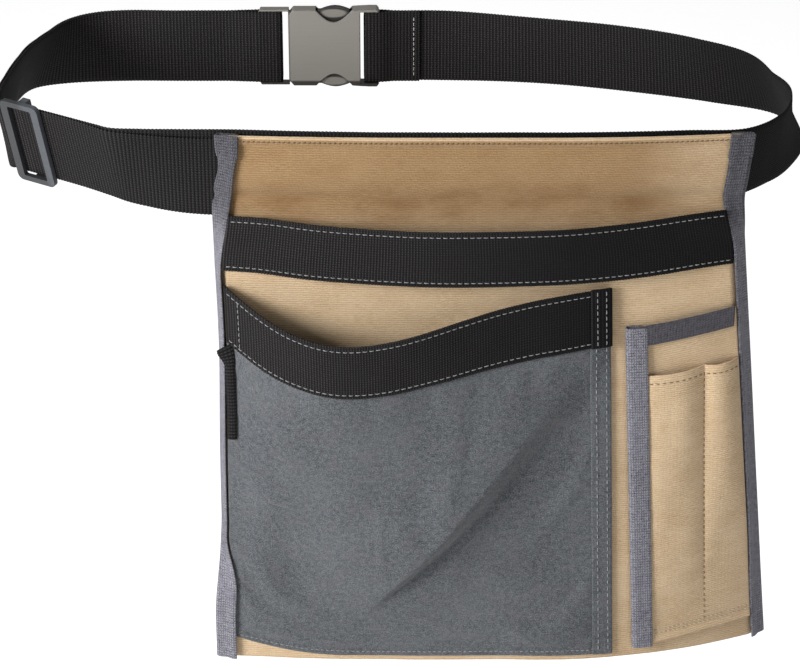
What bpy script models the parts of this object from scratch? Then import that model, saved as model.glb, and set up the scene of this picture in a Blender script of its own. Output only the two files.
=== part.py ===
"""Tool belt: a canvas apron with pockets, sewn to a 50 mm webbing waist belt.

The belt closes at the back with a side-release buckle and is shortened with a tri-glide.
World frame: +X to the wearer's left hand, -Y away from the wearer, +Z up. The origin lies on the
wearer's side of the belt, behind the middle of the apron and level with the middle of the belt.
Sizes below are in millimetres, and depths (y) are measured from the front of the canvas;
WORLD_ORIGIN then moves the whole model to its origin.
"""
import math

import bmesh
import bpy
from mathutils import Matrix, Vector

MM = 0.001
GAP = 0.3                      # clearance between neighbouring sewn layers

# Cloth, webbing and tape thicknesses
CANVAS = 1.2
WEBBING = 1.5
TAPE = 1.0

# Apron panel. Depths are measured from the front of the canvas, positive towards the wearer.
PANEL_TOP = 23.0
PANEL_BOTTOM = -345.0
PANEL_LEFT = -168.0
PANEL_RIGHT = 157.0            # at the narrowest height
NARROWEST_Z = -20.0
RIGHT_FLARE = 0.108            # the right edge leans out by this slope, above and below
LEFT_FLARE = 6.0
FLAT_HALF = 40.0               # flat middle, where the belt is fastened to a rack or a form
BOW_SPAN = 150.0               # from the flat middle out to where these depths are reached
BOW_LEFT = 7.0
BOW_RIGHT = 14.0
CORNER_BACK = 22.0             # how far the lower right corner hangs back
BINDING = 13.0                 # folded tape along the edges

# Webbing band across the top that holds long tools
BAND_HEIGHT = 38.0
BAND_Z = -46.0
BAND_RISE = 2.5
BAND_SAG = 4.0
BAND_BULGE = 15.0

# Main pocket
POCKET_TOP = -75.0
POCKET_DROOP = 25.0
POCKET_BULGE = 33.0
POCKET_SKEW = 0.827            # moves the deepest point of the mouth to the left
POCKET_RIGHT = 77.0
POCKET_RIGHT_LEAN = 0.038
POCKET_BOTTOM = -341.0
POCKET_CORNER = 14.0           # how far the lower left corner is cut up
POCKET_CORNER_WIDTH = 80.0
POCKET_THREAD_INSETS = (("seam_pocket_inner", 11.0), ("seam_pocket_outer", 4.0))
RIM_HEIGHT = 38.0

# Side pocket with two pen slots
SIDE_LEFT = 88.0
SIDE_LEAN = 0.056
SIDE_TOP = -103.0
SIDE_TOP_RISE = 0.17
SIDE_BOTTOM = -336.0
SIDE_BOTTOM_RISE = 0.118
SLOT_TOP = -136.0
SLOT_TOP_RISE = 0.145
SLOT_BULGE = 5.0
SLOT_SHARE = 0.6               # share of the columns left of the divider
DIVIDER_X = 139.0
DIVIDER_LEAN = 0.053

# Depths of the side pocket's layers, in front of the canvas and its folded tape
SIDE_BACK = -TAPE - 2.0 * GAP
SIDE_FRONT = SIDE_BACK - CANVAS
SLOT_BACK = SIDE_FRONT - GAP

# Hanging loop
LOOP_WIDTH = 9.0
LOOP_LENGTH = 65.0
LOOP_DEPTH = 5.0
LOOP_THICK = 1.2
LOOP_STAND_OFF = 1.0
LOOP_X = -161.5
LOOP_TOP = -116.0

# Waist belt. Each row is a point of the middle line, seen from above, and how far the lower
# edge lies from the upper edge there: x, y, lean in x, lean in y.
BELT_WIDTH = 50.0
BACK_Y = 242.0
FRONT_Y = 5.5
PLY_OFFSET = 0.9               # half the distance between two plies lying together
RUN_START = (-229.5, 20.8)     # straight run that the tri-glide slides on
RUN_END = (-298.3, 69.0)
RUN_LEAN = 12.0                # the run's lower edge lies this far towards the wearer
STATION_SPACING = 9.0          # between the belt's cross-sections
FEMALE_FOLD_X = -40.0
FOLD_FLAT_X = -50.0
FOLD_OPEN_X = -59.0
FOLD_OPENS = 0.4                # the two plies part by twice this before they meet the bar
MALE_STRAP_END = -153.0
TAIL_END_X = -152.5            # the belt's free end, tucked in behind the apron
SPREAD_OFFSET = 4.8            # half the distance between the plies beside the buckle
SPREAD_FROM = -245.0
SPREAD_TO = -205.0

# Buckle. Places along the belt are world x, half heights are along z.
SHELL_MOUTH = -129.0
SHELL_END = -80.5
SHELL_HALF = 27.2
SHELL_THICK = 11.0
CAVITY_THICK = 7.8
CAVITY_HALF = 25.3
CAVITY_END = -86.0
WINDOW_FROM = -111.0
SCALLOP_DEPTH = 8.5
FEMALE_BAR = (-75.0, -67.0)
FEMALE_END_HALF = 27.9
MALE_THICK = 6.4
MALE_START = -151.0
WRAP_BAR = (-143.0, -137.0)
BAR_THICK = 3.6
FOLD_CLEAR = 0.4               # between a bar and the webbing folded round it
STRAP_SLOT_HALF = 25.6
BRIDGE = (-130.0, -123.6)
GUIDE_END = -93.0
GUIDE_HALF = 4.5
PRONG_PIVOT_X = -122.6
PRONG_PIVOT_Z = 18.0

# Tri-glide
GLIDE_LENGTH = 31.0
GLIDE_HALF = 29.5
GLIDE_BAR = 6.0
GLIDE_PLATE = 3.2
GLIDE_CLEAR = 2.0
GLIDE_FROM_RUN_END = 17.5

WORLD_ORIGIN = Vector((0.0, FRONT_Y + WEBBING / 2.0, 0.0))

COLOURS = {
    "tan_canvas": ((0.58, 0.38, 0.20), 0.92),
    "grey_canvas": ((0.115, 0.128, 0.135), 0.93),
    "black_webbing": ((0.018, 0.016, 0.017), 0.75),
    "grey_tape": ((0.12, 0.12, 0.16), 0.88),
    "buckle_plastic": ((0.26, 0.25, 0.24), 0.38),
    "glide_plastic": ((0.075, 0.095, 0.115), 0.45),
    "light_thread": ((0.62, 0.62, 0.60), 0.7),
    "brown_thread": ((0.30, 0.19, 0.10), 0.7),
}


def clear_scene():
    for item in list(bpy.data.objects):
        bpy.data.objects.remove(item, do_unlink=True)


def make_material(name):
    colour, roughness = COLOURS[name]
    material = bpy.data.materials.get(name)
    if material is None:
        material = bpy.data.materials.new(name)
        material.use_nodes = True
        shader = material.node_tree.nodes["Principled BSDF"]
        shader.inputs["Base Color"].default_value = (*colour, 1.0)
        shader.inputs["Roughness"].default_value = roughness
        shader.inputs["Metallic"].default_value = 0.0
        material.diffuse_color = (*colour, 1.0)
    return material


def add_object(name, bm, material, origin=(0.0, 0.0, 0.0)):
    """Turn a bmesh in millimetres into an object whose origin is at the given point."""
    bmesh.ops.recalc_face_normals(bm, faces=bm.faces)
    bmesh.ops.translate(bm, vec=-Vector(origin), verts=bm.verts)
    bmesh.ops.scale(bm, vec=(MM, MM, MM), verts=bm.verts)
    mesh = bpy.data.meshes.new(name)
    bm.to_mesh(mesh)
    bm.free()
    item = bpy.data.objects.new(name, mesh)
    item.location = (Vector(origin) - WORLD_ORIGIN) * MM
    bpy.context.collection.objects.link(item)
    mesh.materials.append(make_material(material))
    return item


def smooth(item, angle=35.0):
    item.data.shade_smooth()
    item.data.set_sharp_from_angle(angle=math.radians(angle))


def lerp(a, b, t):
    return a + (b - a) * t


def ease(t):
    t = min(1.0, max(0.0, t))
    return t * t * (3.0 - 2.0 * t)


def steps(count):
    return [i / count for i in range(count + 1)]


# ---------------------------------------------------------------- building methods

def slab(name, front, back, across, down, material, origin=(0.0, 0.0, 0.0)):
    """A cloth panel: two skins, front(u, v) and back(u, v), closed round their edges."""
    bm = bmesh.new()
    skins = []
    for skin in (front, back):
        skins.append([[bm.verts.new(skin(u, v)) for v in down] for u in across])
    near, far = skins
    last_u = len(across) - 1
    last_v = len(down) - 1
    for i in range(last_u):
        for j in range(last_v):
            for grid in skins:
                bm.faces.new((grid[i][j], grid[i + 1][j], grid[i + 1][j + 1], grid[i][j + 1]))
    for i in range(last_u):
        for j in (0, last_v):
            bm.faces.new((near[i][j], near[i + 1][j], far[i + 1][j], far[i][j]))
    for j in range(last_v):
        for i in (0, last_u):
            bm.faces.new((near[i][j], near[i][j + 1], far[i][j + 1], far[i][j]))
    item = add_object(name, bm, material, origin)
    smooth(item)
    return item


def loft(name, rings, material, closed=False, origin=(0.0, 0.0, 0.0)):
    """A solid swept through matching rings, capped at both ends unless it closes on itself."""
    bm = bmesh.new()
    loops = [[bm.verts.new(point) for point in ring] for ring in rings]
    count = len(loops[0])
    pairs = list(zip(loops, loops[1:]))
    if closed:
        pairs.append((loops[-1], loops[0]))
    for first, second in pairs:
        for k in range(count):
            n = (k + 1) % count
            bm.faces.new((first[k], first[n], second[n], second[k]))
    if not closed:
        bm.faces.new(loops[0])
        bm.faces.new(loops[-1])
    item = add_object(name, bm, material, origin)
    smooth(item)
    return item


def plate(name, outline, holes, low, high, place, material, origin=(0.0, 0.0, 0.0)):
    """A flat plate: an outline with holes, thick from low to high, put in place by a matrix."""
    bm = bmesh.new()
    edges = []
    for loop in [outline] + holes:
        verts = [bm.verts.new((a, b, low)) for a, b in loop]
        edges += [bm.edges.new((v, verts[(i + 1) % len(verts)])) for i, v in enumerate(verts)]
    bmesh.ops.triangle_fill(bm, edges=edges, use_beauty=True)
    grown = bmesh.ops.extrude_face_region(bm, geom=list(bm.faces))
    raised = [part for part in grown["geom"] if isinstance(part, bmesh.types.BMVert)]
    bmesh.ops.translate(bm, vec=(0.0, 0.0, high - low), verts=raised)
    bmesh.ops.transform(bm, matrix=place, verts=bm.verts)
    return add_object(name, bm, material, origin)


def box_points(a0, a1, b0, b1):
    return [(a0, b0), (a1, b0), (a1, b1), (a0, b1)]


def rounded_box(a0, a1, b0, b1, radius, count=4):
    """A rectangle with round corners, as a loop of points."""
    points = []
    corners = ((a1 - radius, b1 - radius), (a0 + radius, b1 - radius),
               (a0 + radius, b0 + radius), (a1 - radius, b0 + radius))
    for quarter, (a, b) in enumerate(corners):
        for t in steps(count):
            angle = (quarter + t) * math.pi / 2.0
            points.append((a + radius * math.cos(angle), b + radius * math.sin(angle)))
    return points


def apply_boolean(item, cutter, operation):
    """Join or cut with a second shape, then drop that shape."""
    modifier = item.modifiers.new("boolean", "BOOLEAN")
    modifier.operation = operation
    modifier.solver = "EXACT"
    modifier.object = cutter
    bpy.context.view_layer.update()
    graph = bpy.context.evaluated_depsgraph_get()
    mesh = bpy.data.meshes.new_from_object(item.evaluated_get(graph))
    item.modifiers.clear()
    item.data = mesh
    bpy.data.objects.remove(cutter, do_unlink=True)


def round_edges(item, width, segments=2):
    bevel = item.modifiers.new("edges", "BEVEL")
    bevel.width = width * MM
    bevel.segments = segments
    bevel.limit_method = "ANGLE"
    bevel.angle_limit = math.radians(50.0)
    smooth(item, 40.0)


# ---------------------------------------------------------------- apron

def panel_y(x, z):
    """Front of the apron canvas: flat in the middle, bowed back towards both sides."""
    edge = max(0.0, abs(x) - FLAT_HALF) / BOW_SPAN
    if x < 0.0:
        return BOW_LEFT * edge * edge
    hang = ease((PANEL_TOP - z) / (PANEL_TOP - PANEL_BOTTOM))
    return (BOW_RIGHT + CORNER_BACK * hang) * edge * edge


def left_edge(z):
    return PANEL_LEFT - LEFT_FLARE * ease((-240.0 - z) / 80.0)


def right_edge(z):
    return PANEL_RIGHT + RIGHT_FLARE * math.hypot(z - NARROWEST_Z, 10.0)


def on_panel(x, z, depth):
    return (x, panel_y(x, z) + depth, z)


def panel_heights():
    return [lerp(PANEL_TOP, PANEL_BOTTOM, t) for t in steps(16)]


def apron_panel():
    """The first and the last column of the panel lie inside the folded bindings."""
    inset = TAPE + GAP
    inner = 20

    def skin(depth):
        def point(column, z):
            if column < 0:
                x = left_edge(z) + inset
            elif column > inner:
                x = right_edge(z) - inset
            else:
                x = lerp(left_edge(z) + BINDING, right_edge(z) - BINDING, column / inner)
            return on_panel(x, z, depth)
        return point

    columns = range(-1, inner + 2)
    slab("back_panel", skin(0.0), skin(CANVAS), columns, panel_heights(), "tan_canvas")


def folded_profile(inner_low, inner_high):
    """Tape folded round an edge: distance in from the fold, and depth."""
    low = inner_low - GAP
    high = inner_high + GAP
    return [(0.0, low - TAPE), (BINDING, low - TAPE), (BINDING, low), (TAPE, low),
            (TAPE, high), (BINDING, high), (BINDING, high + TAPE), (0.0, high + TAPE)]


def edge_bindings():
    profile = folded_profile(0.0, CANVAS)
    for name, edge, side in (("edge_binding_left", left_edge, 1.0),
                             ("edge_binding_right", right_edge, -1.0)):
        rings = []
        for z in panel_heights():
            rings.append([on_panel(edge(z) + side * a, z, depth) for a, depth in profile])
        loft(name, rings, "grey_tape")


def inner_left(z):
    return left_edge(z) + BINDING + GAP


def inner_right(z):
    return right_edge(z) - BINDING - GAP


def thread(name, points, material, width=0.7, height=0.4):
    """A row of stitches as a thin square cord; points give its place and its sideways axis."""
    rings = []
    for place, sideways, outward in points:
        half = Vector(sideways) * (width / 2.0)
        rise = Vector(outward) * height
        base = Vector(place)
        rings.append([base - half, base + half, base + half + rise, base - half + rise])
    loft(name, rings, material)


def top_hem_thread():
    z = PANEL_TOP - 6.0
    points = []
    for t in steps(14):
        x = lerp(inner_left(z), inner_right(z), t)
        points.append((on_panel(x, z, -GAP), (0, 0, 1), (0, -1, 0)))
    thread("seam_top_hem", points, "brown_thread")


def tool_band():
    def skin(depth):
        def point(u, v):
            wave = math.sin(math.pi * u)
            z = BAND_Z + BAND_RISE * u - BAND_SAG * wave + BAND_HEIGHT * (0.5 - v)
            x = lerp(inner_left(z), inner_right(z), u)
            return on_panel(x, z, depth - BAND_BULGE * wave)
        return point

    slab("tool_loop_band", skin(-GAP - WEBBING), skin(-GAP), steps(16), steps(2),
         "black_webbing")


# ---------------------------------------------------------------- main pocket

def mouth_shape(u):
    """How far the pocket mouth sags and stands out, from 0 at the sides to 1."""
    return math.sin(math.pi * (u + POCKET_SKEW * u * (1.0 - u)))


def pocket_right(z):
    return POCKET_RIGHT + POCKET_RIGHT_LEAN * (POCKET_TOP - z)


def mouth_height(u):
    return POCKET_TOP - POCKET_DROOP * mouth_shape(u)


def pocket_bottom(x):
    corner = max(0.0, 1.0 - (x - PANEL_LEFT) / POCKET_CORNER_WIDTH)
    return POCKET_BOTTOM + POCKET_CORNER * corner * corner


def pocket_point(u, z, depth):
    x = lerp(inner_left(z), pocket_right(z), u)
    bottom = pocket_bottom(x)
    z = max(z, bottom)
    below = (mouth_height(u) - z) / (mouth_height(u) - bottom)
    bulge = POCKET_BULGE * mouth_shape(u) * max(0.0, 1.0 - below) ** 1.3
    return on_panel(x, z, depth - bulge)


def main_pocket():
    def skin(depth):
        def point(u, v):
            top = mouth_height(u) - 1.0
            foot = lerp(inner_left(POCKET_BOTTOM), pocket_right(POCKET_BOTTOM), u)
            return pocket_point(u, lerp(top, pocket_bottom(foot), v), depth)
        return point

    slab("main_pocket", skin(-GAP - CANVAS), skin(-GAP), steps(16), steps(12), "grey_canvas")


def main_pocket_rim():
    back = -2.0 * GAP - CANVAS

    def skin(depth):
        def point(u, v):
            return pocket_point(u, mouth_height(u) - RIM_HEIGHT * v, depth)
        return point

    slab("main_pocket_rim", skin(back - WEBBING), skin(back), steps(16), steps(3),
         "black_webbing")


def pocket_threads():
    for name, inset in POCKET_THREAD_INSETS:
        points = []
        for t in steps(12):
            z = lerp(POCKET_TOP - RIM_HEIGHT - 5.0, POCKET_BOTTOM + 2.0, t)
            u = 1.0 - inset / (pocket_right(z) - inner_left(z))
            points.append((pocket_point(u, z, -2.0 * GAP - CANVAS), (1, 0, 0), (0, -1, 0)))
        thread(name, points, "light_thread")


# ---------------------------------------------------------------- side pocket

def side_left(z):
    return SIDE_LEFT + SIDE_LEAN * (SIDE_TOP - z)


def side_top(x):
    return SIDE_TOP + SIDE_TOP_RISE * (x - SIDE_LEFT)


def side_bottom(x):
    return SIDE_BOTTOM + SIDE_BOTTOM_RISE * (x - SIDE_LEFT)


def side_pocket():
    def skin(depth):
        def point(u, v):
            x = lerp(side_left(SIDE_TOP) + TAPE + GAP, inner_right(SIDE_TOP), u)
            z = lerp(side_top(x) - TAPE - GAP, side_bottom(x), v)
            x = lerp(side_left(z) + TAPE + GAP, inner_right(z), u)
            return on_panel(x, z, depth)
        return point

    slab("side_pocket", skin(SIDE_FRONT), skin(SIDE_BACK), steps(8), steps(12), "tan_canvas")


def side_pocket_bindings():
    profile = folded_profile(SIDE_FRONT, SIDE_BACK)
    rings = []
    for t in steps(12):
        z = lerp(side_top(SIDE_LEFT), side_bottom(SIDE_LEFT), t)
        rings.append([on_panel(side_left(z) + a, z, depth) for a, depth in profile])
    loft("side_pocket_binding_left", rings, "grey_tape")
    rings = []
    start = side_left(SIDE_TOP - BINDING) + BINDING + GAP
    for t in steps(6):
        x = lerp(start, inner_right(SIDE_TOP), t)
        z = side_top(x)
        x = min(x, inner_right(z))
        rings.append([on_panel(x, z - a, depth) for a, depth in profile])
    loft("side_pocket_binding_top", rings, "grey_tape")


def divider(z):
    return DIVIDER_X + DIVIDER_LEAN * (SLOT_TOP - z)


def pen_slots():
    share = SLOT_SHARE

    def skin(depth):
        def point(u, v):
            x = lerp(SIDE_LEFT + BINDING, inner_right(SLOT_TOP), u)
            z = lerp(SLOT_TOP + SLOT_TOP_RISE * (x - SIDE_LEFT - BINDING), side_bottom(x), v)
            left = side_left(z) + BINDING + GAP
            if u < share:
                lobe = u / share
                x = lerp(left, divider(z), lobe)
            else:
                lobe = (u - share) / (1.0 - share)
                x = lerp(divider(z), inner_right(z), lobe)
            bulge = SLOT_BULGE * math.sin(math.pi * lobe) * (1.0 - v)
            return on_panel(x, z, depth - bulge)
        return point

    slab("pen_slots", skin(SLOT_BACK - CANVAS), skin(SLOT_BACK), steps(10), steps(8),
         "tan_canvas")
    points = []
    for t in steps(8):
        z = lerp(SLOT_TOP - 4.0, SIDE_BOTTOM + 18.0, t)
        place = on_panel(divider(z), z, SLOT_BACK - CANVAS - GAP)
        points.append((place, (1, 0, 0), (0, -1, 0)))
    thread("seam_pen_divider", points, "brown_thread")


# ---------------------------------------------------------------- hanging loop

def hanging_loop():
    """A flattened ring of tape that hangs from its sewn top."""
    back = panel_y(LOOP_X, LOOP_TOP) - TAPE - LOOP_STAND_OFF
    front = back - LOOP_DEPTH
    middle = (back + front) / 2.0
    radius = LOOP_DEPTH / 2.0
    path = []
    for t in steps(6):
        angle = math.pi * t
        path.append((middle + radius * math.cos(angle), LOOP_TOP - radius
                     + radius * math.sin(angle), math.cos(angle), math.sin(angle)))
    for t in steps(6):
        angle = math.pi * (1.0 + t)
        path.append((middle + radius * math.cos(angle), LOOP_TOP - LOOP_LENGTH + radius
                     + radius * math.sin(angle), math.cos(angle), math.sin(angle)))
    half = LOOP_WIDTH / 2.0
    rings = []
    for y, z, ny, nz in path:
        inner = (y - ny * LOOP_THICK, z - nz * LOOP_THICK)
        rings.append([(LOOP_X - half, y, z), (LOOP_X + half, y, z),
                      (LOOP_X + half, *inner), (LOOP_X - half, *inner)])
    pivot = (LOOP_X, middle, LOOP_TOP - radius)
    loft("hanging_loop", rings, "black_webbing", closed=True, origin=pivot)


# ---------------------------------------------------------------- waist belt

def run_direction():
    start = Vector(RUN_START)
    end = Vector(RUN_END)
    return (end - start).normalized()


def run_inward():
    """Level direction square to the straight run, towards the wearer."""
    along = run_direction()
    return Vector((along.y, -along.x))


def front_row(x, lean):
    """Behind the apron the upper edge stays against the canvas, also where the belt leans."""
    return (x, panel_y(x, 0.0) + FRONT_Y + lean / 2.0, 0.0, lean)


def belt_rows():
    """Control rows from the female half, round the right side and the front, to the male."""
    lean = run_inward() * RUN_LEAN
    along = run_direction()
    start = Vector(RUN_START)
    end = Vector(RUN_END)
    settled = start + along * 8.0
    bend = end + along * 3.5
    return [
        (-58.0, BACK_Y, 0.0, 0.0), (-30.0, BACK_Y, 0.0, 0.0), (35.0, 232.0, 0.0, 8.0),
        (97.0, 214.5, 3.0, 9.0), (150.0, 190.0, 14.0, 8.0), (188.5, 160.0, 19.0, 12.0),
        (198.0, 125.0, 20.0, 18.0), (195.5, 84.0, 9.0, 22.0), (181.0, 47.0, 4.0, 22.0),
        front_row(157.0, 14.0), front_row(120.0, 4.0), front_row(80.0, 0.0),
        front_row(FLAT_HALF, 0.0), front_row(20.0, 0.0), front_row(-20.0, 0.0),
        front_row(-FLAT_HALF, 0.0),
        front_row(-80.0, 0.0), front_row(-120.0, 0.0), front_row(-158.0, 1.0),
        (-190.0, 12.3, 0.5, 3.5), (-210.0, 15.3, 3.0, 7.0),
        (*start, *lean), (*settled, *lean), (*end, *lean), (*bend, *lean),
        (-304.5, 87.0, 3.5, 10.0), (-306.0, 113.0, -2.0, 12.0), (-307.0, 150.0, -10.0, 13.0),
        (-304.5, 190.0, -17.0, 12.0), (-295.0, 217.0, -18.0, 8.0), (-279.0, 232.0, -10.0, 5.0),
        (-258.0, BACK_Y - 1.7, -3.0, 1.0),
        (SPREAD_FROM, BACK_Y, 0.0, 0.0), (SPREAD_TO, BACK_Y, 0.0, 0.0),
        (MALE_STRAP_END, BACK_Y, 0.0, 0.0),
    ]


def spline(rows, spacing):
    """Smooth curve through the rows, sampled about every `spacing` of its level length."""
    points = [Vector(row) for row in rows]
    lengths = [(b.xy - a.xy).length for a, b in zip(points, points[1:])]
    slopes = [(b - a) / size for a, b, size in zip(points, points[1:], lengths)]
    tangents = [slopes[0]]
    for i in range(1, len(points) - 1):
        before = lengths[i - 1]
        after = lengths[i]
        tangents.append((slopes[i - 1] * after + slopes[i] * before) / (before + after))
    tangents.append(slopes[-1])
    curve = []
    for i, size in enumerate(lengths):
        count = max(1, round(size / spacing))
        for t in steps(count)[:-1]:
            square = t * t
            cube = square * t
            point = points[i] * (2.0 * cube - 3.0 * square + 1.0)
            point += tangents[i] * (size * (cube - 2.0 * square + t))
            point += points[i + 1] * (3.0 * square - 2.0 * cube)
            point += tangents[i + 1] * (size * (cube - square))
            curve.append(point)
    curve.append(points[-1])
    return curve


def belt_stations():
    """For each place along the belt: centre, direction from lower to upper edge, outward."""
    curve = spline([(*row[:2], *row[2:]) for row in belt_rows()], STATION_SPACING)
    stations = []
    for i, here in enumerate(curve):
        before = curve[max(0, i - 1)].xy
        after = curve[min(len(curve) - 1, i + 1)].xy
        along = Vector((*(after - before), 0.0)).normalized()
        up = Vector((-here[2], -here[3], 0.0))
        up.z = math.sqrt(BELT_WIDTH ** 2 - up.length_squared)
        up = (up - along * up.dot(along)).normalized()
        outward = up.cross(along)
        stations.append((Vector((here.x, here.y, 0.0)), up, outward))
    return stations


def strap_ring(centre, up, outward, offset):
    half = up * (BELT_WIDTH / 2.0)
    near = centre + outward * (offset - WEBBING / 2.0)
    far = centre + outward * (offset + WEBBING / 2.0)
    return [near - half, near + half, far + half, far - half]


def strap(name, rings, origin=(0.0, 0.0, 0.0)):
    """Webbing through a row of upright cross-sections; both faces share one grid."""
    def near(i, v):
        return rings[i][0].lerp(rings[i][1], v)

    def far(i, v):
        return rings[i][3].lerp(rings[i][2], v)

    slab(name, near, far, range(len(rings)), steps(2), "black_webbing", origin)


def spread(x):
    """Plies lie together except beside the buckle, where they open round its bar."""
    return lerp(PLY_OFFSET, SPREAD_OFFSET, ease((x - SPREAD_FROM) / (SPREAD_TO - SPREAD_FROM)))


def main_ply_offset(x, y):
    """Outside the sewn flap at the back right, inside the returning ply on the left."""
    if y > BACK_Y / 2.0:
        return PLY_OFFSET if x > SHELL_MOUTH else -spread(x)
    if x > 0.0:
        return PLY_OFFSET * ease(2.0 * y / BACK_Y)
    return -PLY_OFFSET * ease((-60.0 - x) / 80.0)


def return_ply_offset(x, y):
    return spread(x) if y > BACK_Y / 2.0 else PLY_OFFSET


def bar_wrap(bar, leg_end, toward, count=8):
    """Middle line of webbing round a bar: in on the apron side, out on the far side."""
    radius = BAR_THICK / 2.0 + FOLD_CLEAR + WEBBING / 2.0
    face = max(bar) if toward > 0.0 else min(bar)
    bar_x = face - toward * 0.6
    points = [(leg_end, -radius)]
    for t in steps(count):
        angle = -math.pi / 2.0 + math.pi * t
        points.append((bar_x + toward * radius * math.cos(angle), radius * math.sin(angle)))
    points.append((leg_end, radius))
    return points


def level_ring(x, y, direction):
    """Cross-section of upright webbing whose middle line passes through x, y."""
    along = Vector((*direction, 0.0)).normalized()
    side = Vector((-along.y, along.x, 0.0)) * (WEBBING / 2.0)
    up = Vector((0.0, 0.0, BELT_WIDTH / 2.0))
    centre = Vector((x, y, 0.0))
    return [centre - side - up, centre - side + up, centre + side + up, centre + side - up]


def level_rings(points):
    rings = []
    for i, (x, y) in enumerate(points):
        before = points[max(0, i - 1)]
        after = points[min(len(points) - 1, i + 1)]
        rings.append(level_ring(x, y, (after[0] - before[0], after[1] - before[1])))
    return rings


def female_fold_points():
    """The belt's sewn end: a flap on the wearer's side of the loop, then round the bar."""
    opened = PLY_OFFSET + FOLD_OPENS
    points = [(FEMALE_FOLD_X, -PLY_OFFSET), (FOLD_FLAT_X, -PLY_OFFSET), (FOLD_OPEN_X, -opened)]
    points += bar_wrap(FEMALE_BAR, FEMALE_BAR[1] + 0.5, -1.0)
    points += [(FOLD_OPEN_X, opened)]
    return [(x, BACK_Y + y) for x, y in points]


def waist_strap():
    """One length of webbing from the sewn fold, round the body, to the buckle's male half."""
    rings = level_rings(female_fold_points())
    for centre, up, outward in belt_stations()[1:]:
        rings.append(strap_ring(centre, up, outward, main_ply_offset(centre.x, centre.y)))
    strap("waist_strap", rings)


def waist_strap_return():
    """The outer ply: from the male half back round the left side, its tail behind the apron."""
    rings = []
    for centre, up, outward in belt_stations():
        if centre.x < TAIL_END_X:
            rings.append(strap_ring(centre, up, outward, return_ply_offset(centre.x, centre.y)))
    strap("waist_strap_return", rings)


def fold_thread():
    x = FEMALE_FOLD_X - 4.0
    y = BACK_Y - PLY_OFFSET - WEBBING / 2.0 - GAP
    points = [((x, y, z), (1, 0, 0), (0, -1, 0)) for z in (-22.0, 0.0, 22.0)]
    thread("seam_strap_fold", points, "light_thread")


# ---------------------------------------------------------------- buckle

def buckle_place():
    """Plate coordinates (along the belt, up, thickness) into the world."""
    place = Matrix(((1, 0, 0, 0), (0, 0, -1, BACK_Y), (0, 1, 0, 0), (0, 0, 0, 1)))
    return place


def mirrored(half):
    """A loop from its upper half, listed from left to right."""
    return [(a, b) for a, b in half] + [(a, -b) for a, b in reversed(half)]


def shell_outline():
    half = [(SHELL_MOUTH, SHELL_HALF - 3.0), (SHELL_MOUTH + 2.5, SHELL_HALF),
            (WINDOW_FROM - 1.0, SHELL_HALF)]
    middle = (WINDOW_FROM + CAVITY_END) / 2.0
    width = (CAVITY_END - WINDOW_FROM) / 2.0
    for t in steps(10):
        swing = math.cos(math.pi * (t - 0.5))
        half.append((lerp(middle - width, middle + width, t), SHELL_HALF - SCALLOP_DEPTH * swing))
    half += [(SHELL_END - 2.0, SHELL_HALF + 0.3), (FEMALE_BAR[0], FEMALE_END_HALF),
             (FEMALE_BAR[1] - 2.0, FEMALE_END_HALF), (FEMALE_BAR[1], FEMALE_END_HALF - 3.0)]
    return mirrored(half)


def buckle_female():
    place = buckle_place()
    half = SHELL_THICK / 2.0
    strap_slot = box_points(SHELL_END, FEMALE_BAR[0], -STRAP_SLOT_HALF, STRAP_SLOT_HALF)
    shell = plate("buckle_female", shell_outline(), [strap_slot], -half, half, place,
                  "buckle_plastic")
    cavity_half = CAVITY_THICK / 2.0
    cavity = mirrored([(SHELL_MOUTH - 5.0, CAVITY_HALF), (WINDOW_FROM, CAVITY_HALF),
                       (WINDOW_FROM, SHELL_HALF + 9.0), (CAVITY_END, SHELL_HALF + 9.0)])
    cutter = plate("cavity", cavity, [], -cavity_half, cavity_half, place, "buckle_plastic")
    apply_boolean(shell, cutter, "DIFFERENCE")
    bar_half = BAR_THICK / 2.0
    for low, high in ((bar_half, half + 3.0), (-half - 3.0, -bar_half)):
        area = box_points(SHELL_END + 1.0, FEMALE_BAR[1] + 5.0, -STRAP_SLOT_HALF,
                          STRAP_SLOT_HALF)
        cutter = plate("bar_relief", area, [], low, high, place, "buckle_plastic")
        apply_boolean(shell, cutter, "DIFFERENCE")
    round_edges(shell, 0.7)


def buckle_male():
    place = buckle_place()
    half = MALE_THICK / 2.0
    outline = mirrored([
        (MALE_START, SHELL_HALF - 4.0), (MALE_START + 2.0, SHELL_HALF),
        (SHELL_MOUTH - 0.5, SHELL_HALF), (SHELL_MOUTH - 0.5, CAVITY_HALF - GAP),
        (BRIDGE[1], CAVITY_HALF - GAP), (BRIDGE[1], GUIDE_HALF + 3.0),
        (BRIDGE[1] + 3.0, GUIDE_HALF), (GUIDE_END - 2.0, GUIDE_HALF),
        (GUIDE_END, GUIDE_HALF - 2.0)])
    slots = [box_points(MALE_START + 4.5, WRAP_BAR[0], -STRAP_SLOT_HALF, STRAP_SLOT_HALF),
             box_points(WRAP_BAR[1], BRIDGE[0], -STRAP_SLOT_HALF, STRAP_SLOT_HALF)]
    male = plate("buckle_male", outline, slots, -half, half, place, "buckle_plastic",
                 origin=(MALE_START, BACK_Y, 0.0))
    bar_half = BAR_THICK / 2.0
    for low, high in ((bar_half, half + 3.0), (-half - 3.0, -bar_half)):
        area = box_points(MALE_START - 5.0, WRAP_BAR[1] + 1.0, -STRAP_SLOT_HALF,
                          STRAP_SLOT_HALF)
        cutter = plate("bar_relief", area, [], low, high, place, "buckle_plastic")
        apply_boolean(male, cutter, "DIFFERENCE")
    round_edges(male, 0.5)
    return male


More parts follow.
